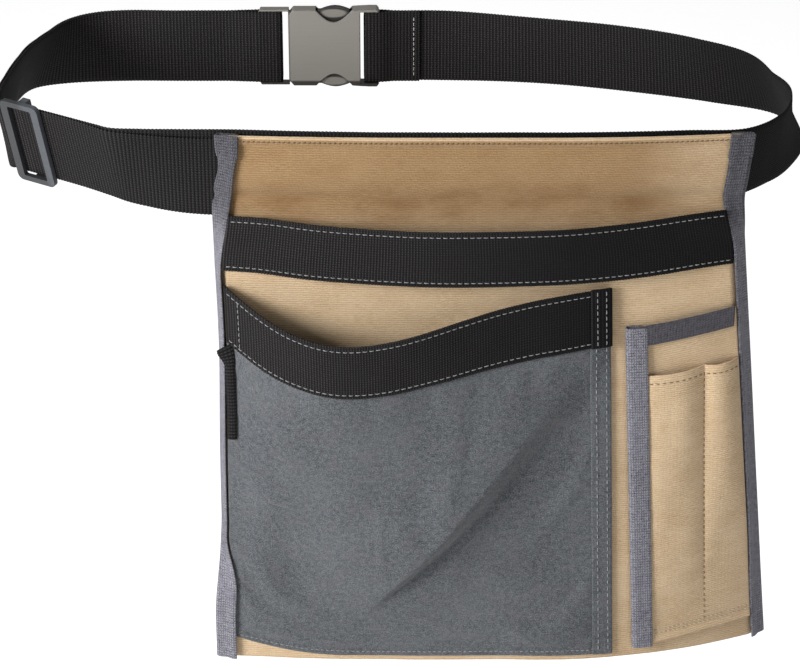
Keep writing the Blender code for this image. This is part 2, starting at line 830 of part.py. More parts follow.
def prong_outline(side):
    """A springy arm with a thumb pad that stands out through the shell's side window."""
    pad_top = SHELL_HALF + 1.5
    points = [(PRONG_PIVOT_X, PRONG_PIVOT_Z - 2.2), (PRONG_PIVOT_X, PRONG_PIVOT_Z + 2.2),
              (WINDOW_FROM - 1.0, CAVITY_HALF - 2.0), (WINDOW_FROM + 1.0, CAVITY_HALF - 1.5),
              (WINDOW_FROM + 1.2, SHELL_HALF - 1.0)]
    left = WINDOW_FROM + 3.5
    right = CAVITY_END - 2.0
    for t in steps(6):
        swing = math.cos(math.pi * (t - 0.5))
        points.append((lerp(left, right, t), lerp(SHELL_HALF - 1.0, pad_top, swing)))
    points += [(right + 0.5, CAVITY_HALF - 6.0), (right - 3.0, CAVITY_HALF - 9.0),
               (WINDOW_FROM + 4.0, PRONG_PIVOT_Z - 0.5)]
    return [(a, side * b) for a, b in points]


def prongs():
    half = MALE_THICK / 2.0
    for name, side in (("prong_upper", 1.0), ("prong_lower", -1.0)):
        pivot = (PRONG_PIVOT_X, BACK_Y, side * PRONG_PIVOT_Z)
        prong = plate(name, prong_outline(side), [], -half, half, buckle_place(),
                      "buckle_plastic", origin=pivot)
        round_edges(prong, 0.5)


def strap_fold_male():
    """Webbing folded round the male half's bar; it travels with the male half."""
    points = bar_wrap(WRAP_BAR, MALE_STRAP_END + 1.0, 1.0)
    rings = level_rings([(x, BACK_Y + y) for x, y in points])
    strap("strap_fold_male", rings, origin=(MALE_START, BACK_Y, 0.0))


# ---------------------------------------------------------------- tri-glide

def glide_place():
    """Plate coordinates (along the run, up the belt, outward) into the world."""
    along = run_direction()
    inward = run_inward()
    level_in = Vector((*inward, 0.0))
    up = (Vector((0.0, 0.0, math.sqrt(BELT_WIDTH ** 2 - RUN_LEAN ** 2)))
          - level_in * RUN_LEAN).normalized()
    u_axis = Vector((*-along, 0.0))
    outward = u_axis.cross(up)
    centre = Vector(RUN_END) - along * GLIDE_FROM_RUN_END
    matrix = Matrix((u_axis, up, outward)).transposed().to_4x4()
    matrix.translation = Vector((*centre, 0.0))
    return matrix


def tri_glide():
    place = glide_place()
    centre = place.translation.copy()
    half = GLIDE_LENGTH / 2.0
    ring = rounded_box(-half, half, -GLIDE_HALF, GLIDE_HALF, 4.0)
    hole = rounded_box(-half + GLIDE_BAR, half - GLIDE_BAR, -STRAP_SLOT_HALF, STRAP_SLOT_HALF,
                       1.0, 2)
    frame = plate("tri_glide", ring, [hole], GLIDE_CLEAR, GLIDE_CLEAR + GLIDE_PLATE, place,
                  "glide_plastic", origin=centre)
    deep = GLIDE_CLEAR + GLIDE_PLATE
    bridge = [(-GLIDE_HALF + 1.0, deep - 1.0), (-STRAP_SLOT_HALF, deep - 1.0),
              (-STRAP_SLOT_HALF, -GLIDE_CLEAR), (STRAP_SLOT_HALF, -GLIDE_CLEAR),
              (STRAP_SLOT_HALF, deep - 1.0), (GLIDE_HALF - 1.0, deep - 1.0),
              (GLIDE_HALF - 1.0, -deep + 1.0), (-GLIDE_HALF + 1.0, -deep + 1.0)]
    turn = Matrix(((0, 0, 1, 0), (1, 0, 0, 0), (0, 1, 0, 0), (0, 0, 0, 1)))
    bar = plate("centre_bar", bridge, [], -GLIDE_BAR / 2.0, GLIDE_BAR / 2.0, place @ turn,
                "glide_plastic", origin=centre)
    apply_boolean(frame, bar, "UNION")
    round_edges(frame, 0.6)


def main():
    clear_scene()
    apron_panel()
    edge_bindings()
    top_hem_thread()
    tool_band()
    main_pocket()
    main_pocket_rim()
    pocket_threads()
    side_pocket()
    side_pocket_bindings()
    pen_slots()
    hanging_loop()
    waist_strap()
    waist_strap_return()
    fold_thread()
    buckle_female()
    buckle_male()
    prongs()
    strap_fold_male()
    tri_glide()


main()
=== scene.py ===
"""Looks of the tool belt: canvas, webbing, tape, stitches, moulded plastic, light and camera.

Lengths are in millimetres until a mesh is made. Depths (y) are measured from the front of the
canvas, as the soft pieces are laid out on it, and are negative in front of it.
"""
import math
from collections import namedtuple

import bpy
import numpy as np
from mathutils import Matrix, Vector


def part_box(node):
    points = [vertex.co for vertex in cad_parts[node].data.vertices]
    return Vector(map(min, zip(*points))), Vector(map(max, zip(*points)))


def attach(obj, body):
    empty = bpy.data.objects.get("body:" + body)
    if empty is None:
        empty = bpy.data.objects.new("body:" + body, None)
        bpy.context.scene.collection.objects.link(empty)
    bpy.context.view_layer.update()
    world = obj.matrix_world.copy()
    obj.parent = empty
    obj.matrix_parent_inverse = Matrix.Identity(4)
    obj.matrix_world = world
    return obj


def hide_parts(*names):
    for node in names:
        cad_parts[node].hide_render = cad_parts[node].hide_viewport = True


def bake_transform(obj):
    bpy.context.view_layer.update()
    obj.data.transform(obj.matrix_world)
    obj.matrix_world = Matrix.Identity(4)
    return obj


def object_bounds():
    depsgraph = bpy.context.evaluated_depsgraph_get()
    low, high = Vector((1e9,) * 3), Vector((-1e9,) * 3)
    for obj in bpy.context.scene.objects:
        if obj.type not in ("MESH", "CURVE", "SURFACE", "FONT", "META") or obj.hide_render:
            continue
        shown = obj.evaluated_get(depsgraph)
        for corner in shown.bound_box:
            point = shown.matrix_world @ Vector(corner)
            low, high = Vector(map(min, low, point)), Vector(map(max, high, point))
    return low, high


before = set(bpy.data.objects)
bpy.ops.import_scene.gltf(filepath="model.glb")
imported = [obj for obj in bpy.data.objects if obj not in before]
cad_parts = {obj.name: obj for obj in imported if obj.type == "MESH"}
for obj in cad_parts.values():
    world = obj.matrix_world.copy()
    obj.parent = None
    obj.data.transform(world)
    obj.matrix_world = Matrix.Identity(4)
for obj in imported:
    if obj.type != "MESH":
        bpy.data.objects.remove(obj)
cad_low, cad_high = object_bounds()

MM = 0.001
FULL_TURN = 2.0 * math.pi
WHITE = (1.0, 1.0, 1.0)


# --------- sizes taken from the frame

def box_mm(name):
    """Low and high corners of a frame node's box, in mm."""
    return [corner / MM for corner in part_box(name)]


PANEL_LOW, PANEL_HIGH = box_mm("back_panel")
PANEL_TOP = PANEL_HIGH.z
PANEL_BOTTOM = PANEL_LOW.z
ORIGIN_DEPTH = -PANEL_LOW.y  # the frame's origin lies this far behind the canvas front
LEFT_BOTTOM = box_mm("edge_binding_left")[0].x  # outermost point of the left edge
POCKET_BOTTOM = box_mm("main_pocket")[0].z
LOOP_LOW, LOOP_HIGH = box_mm("hanging_loop")
BELT_WIDTH = 50.0

# Thickness of each cloth, the gap between layers, and the width of the folded tape
CANVAS = 1.2
WEBBING = 1.5
TAPE = 1.0
GAP = 0.3
BINDING = 13.0

# Apron outline and bow, as the frame has them
LEFT_EDGE = -168.0
RIGHT_EDGE = 157.0
NARROWEST_Z = -20.0
RIGHT_FLARE = 0.108
FLAT_HALF = 40.0
BOW_SPAN = 150.0
BOW_LEFT = 7.0
BOW_RIGHT = 14.0
CORNER_BACK = 22.0

# Tool band
BAND_HEIGHT = 38.0
BAND_Z = -46.0
BAND_RISE = 2.5
BAND_SAG = 4.0
BAND_BULGE = 15.0

# Main pocket
POCKET_TOP = -75.0
POCKET_DROOP = 25.0
POCKET_BULGE = 33.0
POCKET_SKEW = 0.827
POCKET_RIGHT = 77.0
POCKET_RIGHT_LEAN = 0.038
POCKET_CORNER = 14.0
POCKET_CORNER_WIDTH = 80.0
RIM_HEIGHT = 38.0
RIM_LENGTH = 252.0

# Side pocket with two pen slots
SIDE_LEFT = 88.0
SIDE_LEAN = 0.056
SIDE_TOP = -103.0
SIDE_TOP_RISE = 0.17
SIDE_TOP_SAG = 1.4
SIDE_BOTTOM = -336.0
SIDE_BOTTOM_RISE = 0.118
SLOT_TOP = -136.0
SLOT_TOP_RISE = 0.145
SLOT_BULGE = 5.0
SLOT_SHARE = 0.6  # share of the pocket's width in the left pen slot
DIVIDER_X = 139.0
DIVIDER_LEAN = 0.053

# Webbing and stitches
RIB_PITCH = 2.3  # the waist belt's ribs
FINE_PITCH = 1.8  # the tool band's and the pocket rim's ribs
RIB_HEIGHT = 0.11
RIB_COLUMNS = 5
EDGE_NOTCH = 0.3
STITCH_PITCH = 4.1
STITCH_LENGTH = 2.9
THREAD = 0.3


# --------- small maths

def ease(t):
    t = np.clip(t, 0.0, 1.0)
    return t * t * (3.0 - 2.0 * t)


def bell(t):
    return np.exp(-t * t)


def arch(t):
    """Half a sine wave: 0 at both ends of 0..1 and 1 in the middle."""
    return np.sin(math.pi * np.clip(t, 0.0, 1.0))


def lerp(a, b, t):
    return a + (b - a) * t


def bump(a, b, middle, reach, lean=0.0):
    """A soft bump that fades over `reach` along a and b; its place along a leans with b."""
    off_a = a - middle[0]
    off_b = b - middle[1]
    return bell((off_a + lean * off_b) / reach[0]) * bell(off_b / reach[1])


def unit(vectors):
    return vectors / np.maximum(np.linalg.norm(vectors, axis=-1, keepdims=True), 1e-9)


def travelled(points):
    """Distance along a line, or the mean of many lines, from the first point to each point."""
    steps = np.linalg.norm(np.diff(points, axis=0), axis=-1)
    if steps.ndim > 1:
        steps = steps.mean(axis=1)
    return np.concatenate([[0.0], np.cumsum(steps)])


def ripple(a, b, size, seed):
    """Smooth waves between about -1 and 1, each about `size` long, in random directions."""
    rng = np.random.default_rng(seed)
    total = 0.0
    for _ in range(8):
        angle = rng.uniform(0.0, FULL_TURN)
        rate = FULL_TURN / (size * rng.uniform(0.7, 1.6))
        phase = rng.uniform(0.0, FULL_TURN)
        total = total + np.sin(rate * (a * math.cos(angle) + b * math.sin(angle)) + phase)
    return total / 5.0


def mesh_grid(count_u, count_v):
    return np.meshgrid(np.linspace(0.0, 1.0, count_u), np.linspace(0.0, 1.0, count_v),
                       indexing="ij")


def stack(x, y, z):
    return np.stack(np.broadcast_arrays(x, y, z), axis=-1)


# --------- meshes

def add_object(name, data):
    thing = bpy.data.objects.new(name, data)
    bpy.context.scene.collection.objects.link(thing)
    return thing


Cloth = namedtuple("Cloth", "material slot")         # a piece's looks, and the frame's slot for it


def make_object(name, points, quads, uv, cloth, body="apron", replaced=()):
    """A smooth mesh piece from points in mm (frame axes, depth from the canvas front)."""
    world = (np.asarray(points, float) - (0.0, ORIGIN_DEPTH, 0.0)) * MM
    mesh = bpy.data.meshes.new(name)
    mesh.vertices.add(len(world))
    mesh.vertices.foreach_set("co", world.astype(np.float32).ravel())
    mesh.loops.add(quads.size)
    mesh.loops.foreach_set("vertex_index", quads.astype(np.int32).ravel())
    mesh.polygons.add(len(quads))
    mesh.polygons.foreach_set("loop_start", np.arange(0, quads.size, 4, dtype=np.int32))
    mesh.update(calc_edges=True)
    layer = mesh.uv_layers.new(name="cloth")
    layer.data.foreach_set("uv", np.asarray(uv, np.float32)[quads.ravel()].ravel())
    mesh.validate()
    mesh.shade_smooth()
    mesh.materials.append(cloth.material)
    piece = add_object(name, mesh)
    if body:
        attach(piece, body)
    if replaced:
        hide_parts(*replaced)
    return piece


def grid_quads(count_u, count_v, start, flipped):
    index = start + np.arange(count_u * count_v).reshape(count_u, count_v)
    a = index[:-1, :-1]
    b = index[1:, :-1]
    c = index[1:, 1:]
    d = index[:-1, 1:]
    order = (a, d, c, b) if flipped else (a, b, c, d)
    return np.stack([corner.ravel() for corner in order], axis=1)


def border(count_u, count_v):
    """Indices of a grid's outer points, once round."""
    index = np.arange(count_u * count_v).reshape(count_u, count_v)
    return np.concatenate([index[:-1, 0], index[-1, :-1], index[:0:-1, -1], index[0, :0:-1]])


def sheet_normals(points):
    return unit(np.cross(np.gradient(points, axis=0), np.gradient(points, axis=1)))


def cloth_lengths(points):
    """How far each grid point lies along the cloth, in mm, as texture coordinates."""
    u = travelled(points)
    v = travelled(points.swapaxes(0, 1))
    return np.stack(np.meshgrid(u, v, indexing="ij"), axis=-1)


def closed_sheet(name, front, thick, cloth, uv=None, **placing):
    """Cloth with two skins and a rounded edge. The far skin lies `thick` along the normal."""
    count_u, count_v, _ = front.shape
    thick = np.broadcast_to(thick, (count_u, count_v))[..., None]
    back = front + sheet_normals(front) * thick
    middle = (front + back) / 2.0
    inner = np.clip(np.arange(count_u), 1, count_u - 2)[:, None]
    across = np.clip(np.arange(count_v), 1, count_v - 2)[None, :]
    outward = unit(middle - middle[inner, across])
    ring = border(count_u, count_v)
    size = count_u * count_v
    bulge = (middle + outward * thick * 0.45).reshape(-1, 3)[ring]
    points = np.concatenate([front.reshape(-1, 3), back.reshape(-1, 3), bulge])
    following = np.roll(ring, -1)
    rim = 2 * size + np.arange(len(ring))
    rim_next = np.roll(rim, -1)
    quads = np.concatenate([
        grid_quads(count_u, count_v, 0, True),
        grid_quads(count_u, count_v, size, False),
        np.stack([ring, following, rim_next, rim], axis=1),
        np.stack([rim, rim_next, following + size, ring + size], axis=1)])
    if uv is None:
        uv = cloth_lengths(front)
    uv = uv.reshape(-1, 2)
    uv = np.concatenate([uv, uv, uv[ring]])
    return make_object(name, points, quads, uv, cloth, **placing)


def tube_quads(stations, around):
    """Faces of a closed tube through rings of points, with flat ends."""
    index = np.arange(stations * around).reshape(stations, around)
    a = index[:-1]
    b = index[1:]
    sides = np.stack([a, np.roll(a, -1, axis=1), np.roll(b, -1, axis=1), b], axis=-1)
    k = np.arange(around // 2 - 1)
    end = np.stack([k, k + 1, around - 2 - k, around - 1 - k], axis=1)
    return np.concatenate([sides.reshape(-1, 4), end[:, ::-1], end + index[-1, 0]])


def tube(name, rings, cloth, **placing):
    """A closed body through matching rings, (stations, points round, 3), with capped ends."""
    stations, around, _ = rings.shape
    length = travelled(rings.mean(axis=1))
    girth = np.linspace(0.0, travelled(rings[0])[-1], around)
    uv = np.stack(np.meshgrid(length, girth, indexing="ij"), axis=-1).reshape(-1, 2)
    quads = tube_quads(stations, around)
    return make_object(name, rings.reshape(-1, 3), quads, uv, cloth, **placing)


# --------- stitches

def stitch_template():
    """One short thread along x, arched so that its ends sink into the cloth."""
    along = np.array([-1.0, -0.86, -0.5, 0.0, 0.5, 0.86, 1.0])[:, None]
    width = np.array([0.35, 0.8, 1.0, 1.0, 1.0, 0.8, 0.35])[:, None]
    height = 0.75 - 1.5 * np.abs(along) ** 3
    sides = 6
    angle = np.arange(sides)[None, :] * FULL_TURN / sides
    rings = stack(along, width * np.cos(angle), height + width * np.sin(angle))
    return rings.reshape(-1, 3), tube_quads(len(along), sides)[:, ::-1]


def resample(line, spacing):
    length = travelled(line)
    count = max(2, int(round(length[-1] / spacing)))
    places = (np.arange(count) + 0.5) * length[-1] / count
    return np.stack([np.interp(places, length, column) for column in line.T], axis=-1)


def stitches(name, lines, thread, pitch=STITCH_PITCH, length=STITCH_LENGTH, radius=THREAD,
             slant=0.0, **placing):
    """Rows of separate stitches. Each line holds points and, beside them, outward normals."""
    shape, shape_quads = stitch_template()
    points = []
    quads = []
    for line in lines:
        places = resample(np.concatenate(line, axis=-1), pitch)
        centre = places[:, :3]
        outward = unit(places[:, 3:])
        along = unit(np.gradient(centre, axis=0))
        across = unit(np.cross(outward, along))
        along = unit(along + across * slant)
        across = unit(np.cross(outward, along))
        placed = (centre[:, None] + along[:, None] * shape[None, :, :1] * length / 2.0
                  + across[:, None] * shape[None, :, 1:2] * radius
                  + outward[:, None] * shape[None, :, 2:] * radius)
        for stitch in placed:
            quads.append(shape_quads + len(points) * len(shape))
            points.append(stitch)
    points = np.concatenate(points)
    return make_object(name, points, np.concatenate(quads), points[:, [0, 2]], thread, **placing)


def row_on(surface, u, v, lift=0.05):
    """A stitch line on surface(u, v): its points and outward normals."""
    u, v = np.broadcast_arrays(np.asarray(u, float), np.asarray(v, float))
    small = 1e-3
    right = surface(u + small, v) - surface(u - small, v)
    down = surface(u, v + small) - surface(u, v - small)
    outward = unit(np.cross(down, right))
    return surface(u, v) + outward * lift, outward


# --------- cloth simulation

SIM_SCALE = 5.0
SIM_FRAMES = 22
SIM_CLOTH = {"quality": 6, "mass": 0.3, "tension_stiffness": 20.0, "compression_stiffness": 20.0,
             "shear_stiffness": 8.0, "bending_stiffness": 1.5}


def drape(grid, hold, slack, cap):
    """Simulate a coarse cloth grid that has a little slack; returns how far its points move."""
    count_u, count_v, _ = grid.shape
    start = grid.reshape(-1, 3) * MM * SIM_SCALE
    mesh = bpy.data.meshes.new("drape")
    mesh.from_pydata(start.tolist(), [], grid_quads(count_u, count_v, 0, True).tolist())
    cloth = add_object("drape", mesh)
    scene = bpy.context.scene
    group = cloth.vertex_groups.new(name="hold")
    for index, weight in enumerate(np.broadcast_to(hold, (count_u, count_v)).ravel()):
        group.add([index], float(weight), "REPLACE")
    modifier = cloth.modifiers.new("cloth", "CLOTH")
    modifier.point_cache.frame_end = SIM_FRAMES
    settings = modifier.settings
    for key, value in SIM_CLOTH.items():
        setattr(settings, key, value)
    settings.vertex_group_mass = "hold"
    settings.shrink_min = -slack
    settings.shrink_max = -slack
    for number in range(1, SIM_FRAMES + 1):
        scene.frame_set(number)
    seen = cloth.evaluated_get(bpy.context.evaluated_depsgraph_get()).data
    moved = np.zeros(len(seen.vertices) * 3)
    seen.vertices.foreach_get("co", moved)
    offset = (moved.reshape(-1, 3) - start) / (MM * SIM_SCALE)
    bpy.data.objects.remove(cloth, do_unlink=True)
    scene.frame_set(1)
    size = np.linalg.norm(offset, axis=-1, keepdims=True)
    offset = offset * np.tanh(size / cap) * cap / np.maximum(size, 1e-6)
    return offset.reshape(count_u, count_v, 3)


def cubic_weights(t):
    """Catmull-Rom weights of four neighbours for a place t between the middle two."""
    return (-0.5 * t + t ** 2 - 0.5 * t ** 3, 1.0 - 2.5 * t ** 2 + 1.5 * t ** 3,
            0.5 * t + 2.0 * t ** 2 - 1.5 * t ** 3, -0.5 * t ** 2 + 0.5 * t ** 3)


def cubic_sample(field, u, v):
    """Smooth reading of a grid of values at u, v between 0 and 1."""
    count_u, count_v = field.shape[:2]
    a = np.clip(u, 0.0, 1.0) * (count_u - 1)
    b = np.clip(v, 0.0, 1.0) * (count_v - 1)
    i = np.minimum(a.astype(int), count_u - 2)
    j = np.minimum(b.astype(int), count_v - 2)
    total = 0.0
    for di, wi in enumerate(cubic_weights(a - i)):
        for dj, wj in enumerate(cubic_weights(b - j)):
            row = np.clip(i + di - 1, 0, count_u - 1)
            column = np.clip(j + dj - 1, 0, count_v - 1)
            total = total + field[row, column] * (wi * wj)[..., None]
    return total


# --------- apron shape

def fold_left(z):
    """How far the left edge is turned back: it hangs edge-on beside the full pocket."""
    turned = ease((5.0 - z) / 75.0) * (1.0 - ease((-252.0 - z) / 48.0))
    return np.radians(8.0 + 55.0 * turned + 26.0 * bell((z - 1.0) / 13.0))


def fold_right(z):
    return np.radians(44.0 * ease((-10.0 - z) / 44.0) - 8.0 * ease((-250.0 - z) / 80.0))


def left_outer(z):
    tight = 1.8 * bell((z + 120.0) / 60.0)
    upper = 3.4 * ease((z + 22.0) / 40.0) + 2.4 * bell((z - 1.0) / 12.0)
    flare = (LEFT_EDGE - LEFT_BOTTOM) * ease((-240.0 - z) / 80.0)
    return LEFT_EDGE + tight + upper - flare


def right_outer(z):
    return RIGHT_EDGE + RIGHT_FLARE * np.hypot(z - NARROWEST_Z, 10.0)


def inner_left(z):
    """Where the left tape ends on the canvas and the pocket begins."""
    return left_outer(z) + BINDING * np.cos(fold_left(z))


def inner_right(z):
    return right_outer(z) - BINDING * np.cos(fold_right(z))


def bow(x, z):
    edge = np.maximum(0.0, np.abs(x) - FLAT_HALF) / BOW_SPAN
    hang = ease((PANEL_TOP - z) / (PANEL_TOP - PANEL_BOTTOM))
    right = BOW_RIGHT + CORNER_BACK * hang
    return np.where(x < 0.0, BOW_LEFT, right) * edge * edge


def canvas_front(x, z):
    """Depth of the canvas: it swells over the belt, then sinks into a valley below it."""
    sides = 0.45 + 0.55 * ease((np.abs(x + 5.0) - 60.0) / 70.0)
    swell = -1.3 * bell((z - 3.0) / 11.0)
    valley = 2.9 * bell((z + 17.5) / 6.5)
    slope = -2.6 * bell((z + 35.0) / 9.0)
    loose = 0.55 * ripple(x, z, 95.0, 11) * ease((5.0 - z) / 60.0)
    fine = 0.12 * ripple(x, z, 24.0, 12) * ease((18.0 - z) / 30.0)
    return bow(x, z) + (swell + valley + slope) * sides + loose + fine


def on_canvas(x, z, depth):
    return stack(x, canvas_front(x, z) + depth, z)


def edge_point(z, inward, depth, side):
    """A place on a side edge. `inward` runs from 0 at the fold to BINDING at the tape's end."""
    left = side < 0.0
    angle = fold_left(z) if left else fold_right(z)
    root = inner_left(z) if left else inner_right(z)
    reach = BINDING - inward
    x = root + side * (reach * np.cos(angle) - depth * np.sin(angle))
    y = canvas_front(root, z) + reach * np.sin(angle) + depth * np.cos(angle)
    return stack(x, y, z)


SIDES = (("left", -1.0), ("right", 1.0))
EDGE_COLUMNS = (1.4, 4.0, 7.0, 10.0)


def edge_sheet(name, columns, side, thick, cloth, **placing):
    """A closed sheet from columns along one side edge, its front always towards the viewer."""
    grid = np.asarray(columns)
    closed_sheet(name, grid[::-1] if side > 0.0 else grid, thick, cloth, **placing)


def apron_canvas(tan):
    """The apron's canvas from edge to edge, with its outer columns inside the folded tapes."""
    z = np.linspace(PANEL_TOP, PANEL_BOTTOM, 210)
    columns = [edge_point(z, inward, 0.0, -1.0) for inward in EDGE_COLUMNS]
    for u in np.linspace(0.0, 1.0, 190):
        columns.append(on_canvas(lerp(inner_left(z), inner_right(z), u), z, 0.0))
    columns += [edge_point(z, inward, 0.0, 1.0) for inward in reversed(EDGE_COLUMNS)]
    closed_sheet("canvas_apron", np.stack(columns), CANVAS, tan, replaced=["back_panel"])


HEM_HEIGHT = 4.8
HEM_RAISE = 0.75
HEM_STITCH_Z = 2.9


def hem_surface(u, v):
    """Front of the turned-over top hem; v runs from the fold down to the loose edge."""
    z = PANEL_TOP - HEM_HEIGHT * v
    x = lerp(inner_left(z) + 0.3, inner_right(z) - 0.3, u)
    puff = 0.35 * arch(v)
    pucker = 0.12 * ripple(x, 0.0 * x, 9.0, 21)
    y = canvas_front(x, z) - HEM_RAISE - GAP - puff + pucker * v
    return stack(x, y, z + 0.9 * (1.0 - v))


def top_hem(tan, brown):
    closed_sheet("top_hem", hem_surface(*mesh_grid(260, 9)), HEM_RAISE, tan)
    row = row_on(hem_surface, np.linspace(0.005, 0.995, 300), HEM_STITCH_Z / HEM_HEIGHT)
    stitches("stitches_top_hem", [row], brown, pitch=3.1, length=2.5, radius=0.36, slant=0.35,
             replaced=["seam_top_hem"])


SEAM_UNDER = 1.5  # pocket and band edges reach this far under the tape


def tape_lift(z, inward):
    """The tapes' front leaf climbs over whatever is sewn in under it."""
    layers = 0.9 + 1.0 * ease((-16.0 - z) / 12.0)
    return layers * ease((inward - 6.5) / 4.0)


def folded_profile(low, high, back_width, front_count, fold_count, back_count):
    """Folded tape in cross-section: distance in from the fold, and depth of the outer face."""
    middle = (low + high) / 2.0
    radius = (high - low) / 2.0
    turns = math.pi * np.linspace(0.0, 1.0, fold_count)[1:-1]
    front = [(a, low) for a in np.linspace(BINDING, radius, front_count)]
    fold = [(radius - radius * math.sin(t), middle - radius * math.cos(t)) for t in turns]
    back = [(a, high) for a in np.linspace(radius, back_width, back_count)]
    return front + fold + back


def edge_tapes(tape, dim):
    profile = folded_profile(-GAP - TAPE, CANVAS + GAP + TAPE, BINDING, 6, 7, 6)
    z = np.linspace(PANEL_TOP + 0.4, PANEL_BOTTOM - 0.3, 420)
    ribbed = 0.05 * np.cos(FULL_TURN * z / 1.9)
    seam_inward = BINDING - 1.8
    rows = []
    for name, side in SIDES:
        columns = []
        for k, (inward, depth) in enumerate(profile):
            wave = 0.22 * ripple(z, 0.0 * z + 7.0 * k, 17.0, 31) * (0.3 + inward / BINDING)
            if k < len(profile) / 2:
                depth = depth - tape_lift(z, inward) - ribbed - 0.15 * wave
            else:
                depth = depth + ribbed + 0.15 * wave
            columns.append(edge_point(z, inward + 0.3 * wave, depth, side))
        edge_sheet("edge_tape_" + name, columns, side, TAPE, tape,
                   replaced=["edge_binding_" + name])
        line = edge_point(z, seam_inward, -GAP - TAPE - tape_lift(z, seam_inward), side)
        angle = fold_left(z) if side < 0.0 else fold_right(z)
        outward = stack(side * np.sin(angle), -np.cos(angle), 0.0 * z)
        rows.append((line + outward * 0.12, outward))
    stitches("stitches_edge_tapes", rows, dim, pitch=3.6, length=2.4, radius=0.24)


def tape_ends(tape):
    """The tapes' ends, turned under at the apron's top corners."""
    u, v = mesh_grid(16, 14)
    z = PANEL_TOP + 1.2 - 15.0 * v
    inward = lerp(-0.6, BINDING + 0.9, u)
    depth = -GAP - 2.0 * TAPE - 0.35 - 0.3 * arch(u) * arch(v) - tape_lift(z, inward)
    depth = depth + 0.9 * ease((v - 0.75) / 0.25)
    for name, side in SIDES:
        edge_sheet("tape_end_" + name, edge_point(z, inward, depth, side), side, 0.8 * TAPE, tape)


# --------- webbing on the apron

def ribs(length):
    """Raised cross ribs of webbing: 0 in the grooves, 1 on the ribs."""
    return 0.5 + 0.5 * np.cos(FULL_TURN * length / RIB_PITCH)


def ribbed_sheet(name, surface, length, height, black, replaced):
    """Webbing over surface(u, v), with real fine ribs and notched long edges."""
    u, v = mesh_grid(int(length / FINE_PITCH * RIB_COLUMNS), 15)
    along = u * length * RIB_PITCH / FINE_PITCH
    wave = ribs(along)
    notch = EDGE_NOTCH * (1.0 - wave) / height
    v = lerp(notch, 1.0 - notch, v)
    front = surface(u, v)
    front = front - sheet_normals(front) * (RIB_HEIGHT * wave)[..., None]
    uv = np.stack([along, v * height], axis=-1)
    closed_sheet(name, front, WEBBING + 2.0 * RIB_HEIGHT * wave, black, uv=uv, replaced=[replaced])


def band_surface(u, v):
    wave = arch(u)
    settle = 1.2 * bell((u - 0.07) / 0.07) + 0.8 * bell((u - 0.93) / 0.08)
    z = BAND_Z + BAND_RISE * u - BAND_SAG * wave + settle + BAND_HEIGHT * (0.5 - v)
    x = lerp(inner_left(z) - SEAM_UNDER, inner_right(z) + SEAM_UNDER, u)
    stand = BAND_BULGE * wave + 4.2 * (1.0 - v) + 1.2 * wave * (0.5 - v)
    crease = 0.5 * ripple(x, z, 60.0, 41) * wave
    ground = lerp(canvas_front(x, z), bow(x, z), np.minimum(1.0, 3.0 * wave))
    return stack(x, ground - GAP - WEBBING - 0.3 - stand + crease, z)


def tool_band(black, light):
    length = inner_right(BAND_Z) - inner_left(BAND_Z)
    ribbed_sheet("tool_band", band_surface, length, BAND_HEIGHT, black, "tool_loop_band")
    along = np.linspace(0.004, 0.996, 400)
    inset = 3.0 / BAND_HEIGHT
    rows = [row_on(band_surface, along, v, 0.15) for v in (inset, 1.0 - inset)]
    stitches("stitches_tool_band", rows, light)


# --------- main pocket

def pocket_right(z):
    return POCKET_RIGHT + POCKET_RIGHT_LEAN * (POCKET_TOP - z)


def mouth_shape(u):
    u = np.clip(u, 0.0, 1.0)
    return np.sin(math.pi * (u + POCKET_SKEW * u * (1.0 - u)))


def mouth_height(u):
    return POCKET_TOP - POCKET_DROOP * mouth_shape(u)


def pocket_bottom(x):
    corner = np.maximum(0.0, 1.0 - (x - LEFT_EDGE) / POCKET_CORNER_WIDTH)
    return POCKET_BOTTOM + POCKET_CORNER * corner * corner


POCKET_SETTLED = {"offset": None}  # filled in by settle_pocket
FOLD_X = -14.0  # a place on the pocket's long diagonal fold
FOLD_Z = -236.0
FOLD_RUN = (0.645, 0.764)  # the fold's direction: across the pocket, and up


def pocket_folds(u, below, x, z):
    """Soft folds of the pocket cloth, in mm towards the front."""
    body = arch(u) ** 0.6 * np.clip(4.0 * (1.0 - below), 0.0, 1.0)
    along = (x - FOLD_X) * FOLD_RUN[0] + (z - FOLD_Z) * FOLD_RUN[1]
    across = (x - FOLD_X) * FOLD_RUN[1] - (z - FOLD_Z) * FOLD_RUN[0]
    width = lerp(4.5, 24.0, np.clip((along + 92.0) / 200.0, 0.0, 1.0))
    past = across + width / 2.0
    drop = np.where(past < 0.0, bell(past / 42.0), 1.0 - ease(past / width))
    height = 13.0 * ease((along + 112.0) / 95.0) * (1.0 - 0.35 * ease((along - 60.0) / 60.0))
    ridge_ends = ease(below / 0.25) * (1.0 - ease((below - 0.8) / 0.2))
    left_ridge = 3.4 * bell((u - 0.085) / 0.06) * ridge_ends
    left_groove = -1.6 * bell((u - 0.2) / 0.07) * ease((below - 0.1) / 0.4)
    low_fold = 4.2 * bump(x, z, (-140.0, -285.0), (6.0, 34.0), 0.333)
    belly = 5.0 * bump(x, z, (2.0, -265.0), (36.0, 60.0))
    nick = 0.9 * bump(x, z, (-65.0, -250.0), (3.0, 24.0))
    crease = bump(z, x, (-148.52, -7.0), (3.5, 40.0), -0.155)
    drift = 0.9 * ripple(x, z, 85.0, 51) + 0.3 * ripple(x, z, 30.0, 52)
    folds = height * drop + left_ridge + left_groove + low_fold + belly + nick + crease + drift
    return folds * body


